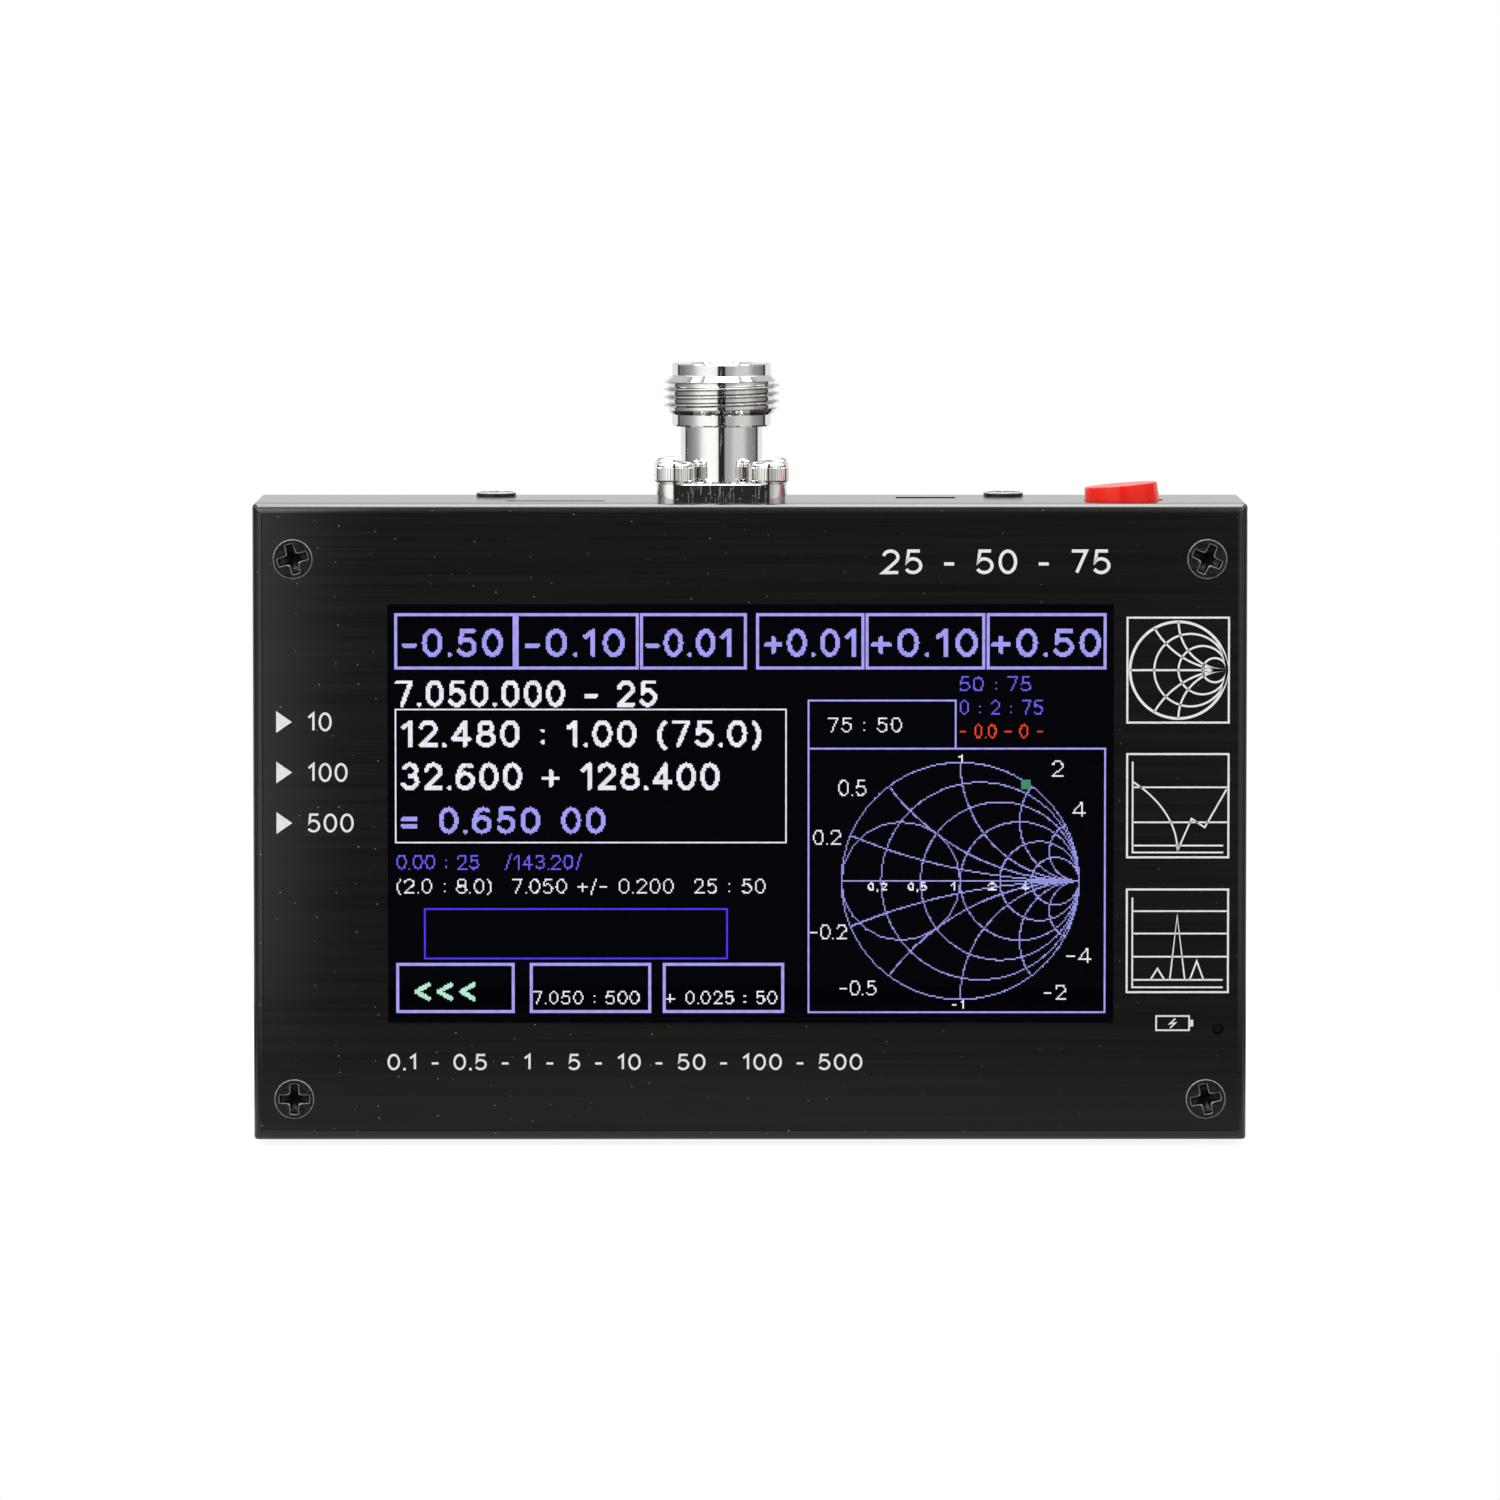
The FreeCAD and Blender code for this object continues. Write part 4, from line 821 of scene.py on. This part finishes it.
def addRibbon(work, points, width, closed=False):
    # a strip of even width along (x, z) points, mitred at its corners
    count = len(points)
    sides = []
    for i, (x, z) in enumerate(points):
        before = points[(i - 1) % count] if closed or i else None
        after = points[(i + 1) % count] if closed or i < count - 1 else None
        ways = [Vector((x - before[0], z - before[1])).normalized()] if before else []
        ways += [Vector((after[0] - x, after[1] - z)).normalized()] if after else []
        way = sum(ways, Vector((0, 0))).normalized()
        off = Vector((-way.y, way.x)) * (width / 2 / max(way.dot(ways[0]), 0.35))
        sides.append([work.verts.new((x + side * off.x, 0, z + side * off.y)) for side in (1, -1)])
    pairs = list(zip(sides, sides[1:])) + ([(sides[-1], sides[0])] if closed else [])
    for (left, right), (nextLeft, nextRight) in pairs:
        work.faces.new((left, right, nextRight, nextLeft))


def addShape(work, points):
    work.faces.new([work.verts.new((x, 0, z)) for x, z in points])


def corners(left, right, low, high):
    return [(left, low), (right, low), (right, high), (left, high)]


def bow(x, y, across, up, start, end):
    steps = max(4, round(abs(end - start) / 18))
    turns = [math.radians(start + (end - start) * i / steps) for i in range(steps + 1)]
    return [(x + across * math.cos(turn), y + up * math.sin(turn)) for turn in turns]


# each figure is its width and the middle lines of its strokes, for a height of 1; a single point is a dot
figureShapes = {
    "0": (0.62, [bow(0.31, 0.5, 0.31, 0.5, 0, 360)]),
    "1": (0.36, [[(0.02, 0.76), (0.3, 1), (0.3, 0)]]),
    "2": (0.6, [bow(0.3, 0.71, 0.29, 0.29, 168, -40) + [(0.01, 0), (0.6, 0)]]),
    "3": (0.6, [bow(0.28, 0.755, 0.26, 0.245, 155, -90) + bow(0.28, 0.265, 0.31, 0.265, 90, -155)[1:]]),
    "4": (0.64, [[(0.64, 0.27), (0, 0.27), (0.46, 1), (0.46, 0)]]),
    "5": (0.6, [[(0.55, 1), (0.11, 1), (0.05, 0.52)] + bow(0.28, 0.32, 0.31, 0.32, 125, -150)]),
    "6": (0.62, [bow(0.31, 0.31, 0.31, 0.31, 0, 360), bow(0.38, 0.36, 0.38, 0.64, 185, 62)]),
    "7": (0.58, [[(0, 1), (0.58, 1), (0.2, 0)]]),
    "8": (0.62, [bow(0.31, 0.75, 0.26, 0.25, 0, 360), bow(0.31, 0.26, 0.31, 0.26, 0, 360)]),
    "9": (0.62, [bow(0.31, 0.69, 0.31, 0.31, 0, 360), bow(0.24, 0.64, 0.38, 0.64, 5, -118)]),
    ".": (0, [[(0, 0)]]),
    ":": (0, [[(0, 0.12)], [(0, 0.62)]]),
    "-": (0.4, [[(0, 0.4), (0.4, 0.4)]]),
    "+": (0.56, [[(0, 0.42), (0.56, 0.42)], [(0.28, 0.14), (0.28, 0.7)]]),
    "=": (0.5, [[(0, 0.55), (0.5, 0.55)], [(0, 0.25), (0.5, 0.25)]]),
    "(": (0.21, [bow(0.5, 0.42, 0.5, 0.68, 125, 235)]),
    ")": (0.21, [bow(-0.29, 0.42, 0.5, 0.68, 55, -55)]),
    "/": (0.34, [[(0, -0.08), (0.34, 1.05)]]),
    "<": (0.42, [[(0.42, 0.72), (0, 0.42), (0.42, 0.12)]]),
    " ": (0.3, []),
}


def figureStrokes(text, left, right, base, height, stroke, between=0.14):
    # the middle lines of figures and signs fitted between two sides on a base line
    tall = height - math.copysign(stroke, height)
    gap = stroke + between * abs(height)
    natural = sum(figureShapes[sign][0] for sign in text) * abs(tall) + gap * (len(text) - 1)
    stretch = (right - left - stroke) / natural
    x, z = left + stroke / 2, base + math.copysign(stroke / 2, height)
    lines = []
    for sign in text:
        width, strokes = figureShapes[sign]
        for points in strokes:
            lines.append([(x + across * abs(tall) * stretch, z + up * tall) for across, up in points])
        x += (width * abs(tall) + gap) * stretch
    return lines


def finishSheet(name, work, material, y, scale, left=0.0, top=bottomZ, up=1):
    # from millimetres or pixels to the frame, with every face looking out of the display side
    work.transform(Matrix.Translation((left, y, top)) @ Matrix.Diagonal((scale, 1, scale * up, 1)))
    bmesh.ops.recalc_face_normals(work, faces=work.faces)
    for face in work.faces:
        face.normal_update()
        if face.normal.y > 0:
            face.normal_flip()
    addPiece(name, closeMesh(name, work), material)


def smithPoint(resistance, reactance):
    impedance = complex(resistance, reactance)
    mirrored = (impedance - 1) / (impedance + 1)
    return mirrored.real, mirrored.imag


def smithCircle(resistance, steps=96):
    turns = [math.pi * ((i + 0.5) / steps - 0.5) for i in range(steps)]
    return [smithPoint(resistance, math.tan(turn)) for turn in turns]


def smithArc(reactance, steps=48):
    shares = [i / steps for i in range(steps)]
    return [smithPoint(share / (1 - share), reactance) for share in shares] + [(1.0, 0.0)]


ink = {
    "line": 0.27, "fine": 0.23,
    "boxes": [(50.25, 63.76, 55.9, 69.9), (50.25, 63.76, 37.9, 51.7), (50.25, 63.76, 19.85, 33.6)],
    "smith": {"centre": (57.05, 62.9), "radius": 6.45, "rim": 0.36, "circles": (1 / 3, 1, 3),
              "arcs": (0.58, 1)},
    # the two graphs: left side and foot of each, then level lines and how far they go
    "axes": [[(50.99, 50.7), (50.99, 38.55), (63.07, 38.55)], [(50.99, 32.5), (50.99, 20.5), (63.07, 20.5)]],
    "levels": [(63.6, level) for level in (47.26, 42.58, 30.7, 27.7, 24.6)] + [(63.07, 39.47), (63.07, 21.5)],
    "dipCurve": ((51.1, 47.95), (56.97, 38.75)),
    "dipRest": [(56.97, 38.75), (58.85, 43.07), (60.6, 41.9), (63.5, 47.0)],
    "peaks": [[(left, 21.5), tip, (right, 21.5)] for left, tip, right in
              ((56.0, (56.97, 30.1), 58.0), (53.4, (54.36, 23.0), 55.3), (58.66, (59.6, 24.0), 60.5))],
    "arrow": {"left": -63.1, "right": -61.0, "half": 1.45, "text": -59.0, "drop": 1.27, "tall": 2.55,
              "stroke": 0.31},
    # height of the arrow, its figures and their length
    "arrows": [(56.0, "10", 3.3), (49.25, "100", 5.4), (42.5, "500", 6.2)],
    # figures, left, right, base line, height and stroke
    "title": ("25 - 50 - 75", 17.5, 48.0, 75.7, 3.3, 0.43),
    "legend": ("0.1 - 0.5 - 1 - 5 - 10 - 50 - 100 - 500", -48.4, 15.0, 9.4, 2.2, 0.3),
    # a small battery with a bolt in it stands beside the charge lamp
    "battery": [((54.2, 58.6, 14.75, 16.65), 0.22), ((58.85, 59.05, 15.35, 16.05), 0.2)],
    "bolt": ([(56.75, 16.3), (56.0, 15.6), (56.8, 15.75), (56.05, 15.05)], 0.2),
}


def printFace():
    # all in millimetres, across from the middle and up from the bottom of the case
    work = bmesh.new()
    for box in ink["boxes"]:
        addRibbon(work, corners(*box), ink["line"], closed=True)
    smith = ink["smith"]
    (centreX, centreZ), radius = smith["centre"], smith["radius"]

    def onChart(points):
        return [(centreX + radius * x, centreZ + radius * y) for x, y in points]

    for value in (0, *smith["circles"]):
        addRibbon(work, onChart(smithCircle(value)), ink["line"] if value else smith["rim"], closed=True)
    for value in smith["arcs"]:
        for side in (1, -1):
            addRibbon(work, onChart(smithArc(side * value)), ink["line"])
    addRibbon(work, onChart([(-1, 0), (1, 0)]), ink["line"])
    levels = [[(ink["axes"][0][0][0], level), (right, level)] for right, level in ink["levels"]]
    for line in ink["axes"] + levels + ink["peaks"] + [ink["dipRest"]]:
        addRibbon(work, line, ink["fine"])
    # the curve is the lower half of a quarter of an ellipse
    (startX, startZ), (endX, endZ) = ink["dipCurve"]
    slope = math.sqrt(0.5)
    turns = [math.pi / 4 * (1 + i / 24) for i in range(25)]
    addRibbon(work, [(endX - (endX - startX) * (1 - math.sin(t)) / (1 - slope),
                      endZ + (startZ - endZ) * math.cos(t) / slope) for t in turns], ink["fine"])
    arrow, figures = ink["arrow"], []
    left, half, text = (arrow[key] for key in ("left", "half", "text"))
    for height, signs, length in ink["arrows"]:
        addShape(work, [(left, height - half), (arrow["right"], height), (left, height + half)])
        figures.append((signs, text, text + length, height - arrow["drop"], arrow["tall"], arrow["stroke"]))
    for *place, stroke in figures + [ink["title"], ink["legend"]]:
        for line in figureStrokes(*place, stroke):
            if len(line) == 1:
                (x, z), half = line[0], 0.56 * stroke
                addRibbon(work, [(x - half, z), (x + half, z)], 2 * half)
            else:
                closed = len(line) > 8 and math.dist(line[0], line[-1]) < stroke / 50
                addRibbon(work, line[:-1] if closed else line, stroke, closed)
    for box, width in ink["battery"]:
        addRibbon(work, corners(*box), width, closed=True)
    addRibbon(work, *ink["bolt"])
    finishSheet("facePrint", work, whiteInk(), faceY + case["printFront"] * mm, mm)


printFace()
print("ink")


# the display's pixels, and in millimetres its pitch, its place and the margin of its dark ground
display = {"across": 480, "down": 272, "pitch": 0.19792, "left": -47.4, "top": 70.65, "behindGlass": 0.03,
           "margin": 2, "sheetStep": 0.004}
colours = {
    "lavender": (175, 168, 255), "boldLavender": (170, 165, 255), "white": (245, 245, 255),
    "violet": (120, 100, 255), "deepViolet": (85, 60, 255), "mint": (190, 245, 215), "orange": (255, 75, 35),
    "chart": (172, 172, 255), "marker": (70, 150, 110),
}
# colour, line width, then left, right, top and bottom, all in pixels
screenBoxes = [("lavender", 2, left, right, 2.5, 38.5) for left, right in
               ((0.8, 80.6), (82.6, 163.6), (166.4, 236.4), (244.6, 315.6), (318.4, 397), (400, 478.8))]
screenBoxes += [("lavender", 2, left, right, 239, 271) for left, right in
                ((1.6, 79.6), (91.8, 171.8), (181.6, 261.6))]
screenBoxes += [("white", 1, 0.5, 263.8, 66.5, 156.5), ("deepViolet", 1.2, 20, 224, 201.5, 235),
                ("lavender", 1.2, 279, 378.2, 60.5, 93), ("lavender", 1.2, 279, 479, 93, 271.5)]
# colour, figures, left, right, top, bottom and stroke
screenFigures = [("boldLavender", text, left, right, 12, 31, 3) for text, left, right in
                 (("-0.50", 5, 73), ("-0.10", 87.5, 155), ("-0.01", 169, 228), ("+0.01", 249, 312),
                  ("+0.10", 321, 393), ("+0.50", 402, 476))]
screenFigures += [
    ("white", "7.050.000 - 25", 0.4, 177, 46.6, 64.8, 2.9),
    ("white", "12.480 : 1.00 (75.0)", 4, 247, 73.6, 92, 2.9),
    ("white", "32.600 + 128.400", 4, 219, 102.4, 121, 2.9),
    ("boldLavender", "= 0.650 00", 4, 142, 132.4, 150.6, 2.9),
    ("violet", "0.00 : 25   /143.20/", 1, 126, 164.6, 174.6, 1.1),
    ("white", "(2.0 : 8.0)  7.050 +/- 0.200  25 : 50", 1, 250, 181, 191, 1.1),
    ("mint", "<<<", 12.6, 54.4, 247, 265.5, 3),
    ("white", "7.050 : 500", 93, 165, 257, 266, 1.05),
    ("white", "+ 0.025 : 50", 182.8, 257.8, 257, 266, 1.05),
    ("violet", "50 : 75", 380.7, 429, 44.4, 54.4, 1.1),
    ("violet", "0 : 2 : 75", 380.7, 437, 60.2, 70, 1.1),
    ("orange", "- 0.0 - 0 -", 380.7, 437, 76.4, 85.8, 1.1),
    ("white", "75 : 50", 292, 342, 71.6, 82, 1.15),
]
screenFigures += [("white", text, left, right, bottom - 11, bottom, 1.15) for text, left, right, bottom in (
    ("0.2", 282, 301, 158.5), ("0.5", 299, 318, 125), ("2", 443, 451, 112), ("4", 457, 466, 139.5),
    ("-0.2", 280, 305, 222.5), ("-0.5", 300, 325, 260.5), ("-2", 438, 453, 263.5), ("-4", 453, 470, 238.5))]
screenFigures += [("white", text, left, right, bottom - 6.4, bottom, 1.5) for text, left, right, bottom in (
    ("1", 380, 383.6, 103.4), ("-1", 375.5, 385, 269.6), ("0.2", 319, 332, 189.6), ("0.5", 346, 359, 189.6),
    ("1", 374.5, 378.5, 189.6), ("2", 400, 406, 189.6), ("4", 421.5, 428, 189.6))]
thickFrom = 1.6      # strokes broader than this are more than one pixel wide
chart = {"centre": (381.4, 182.6), "radius": 80.2, "values": (0.2, 0.5, 1, 2, 4), "marker": (425.6, 117.2),
         "markerHalf": 3.2}


def thinCells(line):
    # the display's pixels along a fine line, one for each step of its longer way
    cells = set()
    for start, end in zip(line, line[1:]):
        major = 0 if abs(end[0] - start[0]) >= abs(end[1] - start[1]) else 1
        low, high = sorted((start, end), key=lambda point: point[major])
        run = high[major] - low[major]
        for step in range(math.floor(low[major]), math.floor(high[major]) + 1):
            share = min(max((step + 0.5 - low[major]) / run, 0), 1) if run else 0
            other = math.floor(low[1 - major] + (high[1 - major] - low[1 - major]) * share)
            cells.add((step, other) if major == 0 else (other, step))
    return cells


def thickCells(line, stroke):
    # the display's pixels whose middles lie under a broad line, and the one at its start
    cells = {tuple(math.floor(value) for value in line[0])} if len(line) == 1 else set()
    reach = stroke / 2
    for start, end in zip(line, line[1:] or line):
        spans = [range(math.floor(min(pair) - reach), math.floor(max(pair) + reach) + 1)
                 for pair in zip(start, end)]
        run = complex(*end) - complex(*start)
        for cell in product(*spans):
            away = complex(cell[0] + 0.5, cell[1] + 0.5) - complex(*start)
            share = min(max((away / run).real, 0), 1) if run else 0
            if abs(away - share * run) <= reach:
                cells.add(cell)
    return cells


def addCells(work, cells, gap=0.0):
    # lit pixels, side by side ones as one strip, with a dark gap left round each strip
    rows = {}
    for across, down in sorted(cells):
        runs = rows.setdefault(down, [])
        if runs and runs[-1][1] == across:
            runs[-1][1] = across + 1
        else:
            runs.append([across, across + 1])
    for down, runs in rows.items():
        for left, right in runs:
            addShape(work, corners(left + gap, right - gap, down + gap, down + 1 - gap))


def chartCells():
    lines = [smithCircle(value, 240) for value in (0,) + chart["values"]]
    lines += [smithArc(side * value, 200) for value in chart["values"] for side in (1, -1)]
    lines += [[(-1.0, 0.0), (1.0, 0.0)], bow(-0.5, 0, 0.5, 0.5, 0, 360)]
    (across, down), radius = chart["centre"], chart["radius"]
    placed = ([(across + radius * x, down - radius * y) for x, y in line] for line in lines)
    return set().union(*map(thinCells, placed))


def drawDisplay():
    sheets = {name: bmesh.new() for name in ("ground", *colours)}
    for name, width, *box in screenBoxes:
        addRibbon(sheets[name], corners(*box), width, closed=True)
    for name, text, left, right, top, bottom, stroke in screenFigures:
        cells = set()
        for line in figureStrokes(text, left, right, bottom, top - bottom, stroke):
            cells |= thickCells(line, stroke) if stroke > thickFrom or len(line) == 1 else thinCells(line)
        addCells(sheets[name], cells)
    addCells(sheets["chart"], chartCells(), 0.1)
    (across, down), half, edge = chart["marker"], chart["markerHalf"], display["margin"] / display["pitch"]
    addShape(sheets["marker"], corners(across - half, across + half, down - half, down + half))
    addShape(sheets["ground"], corners(-edge, display["across"] + edge, -edge, display["down"] + edge))
    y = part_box("lcd_panel")[0].y - display["behindGlass"] * mm
    place = {"scale": display["pitch"] * mm, "left": display["left"] * mm, "up": -1,
             "top": bottomZ + display["top"] * mm}
    finishSheet("screenGround", sheets["ground"], litColour("screenGround", 3, 3, 8), y, **place)
    for step, (name, colour) in enumerate(colours.items(), 1):
        forward = step * display["sheetStep"] * mm
        finishSheet("screen_" + name, sheets[name], litColour("lit_" + name, *colour), y - forward, **place)


drawDisplay()
print("display")
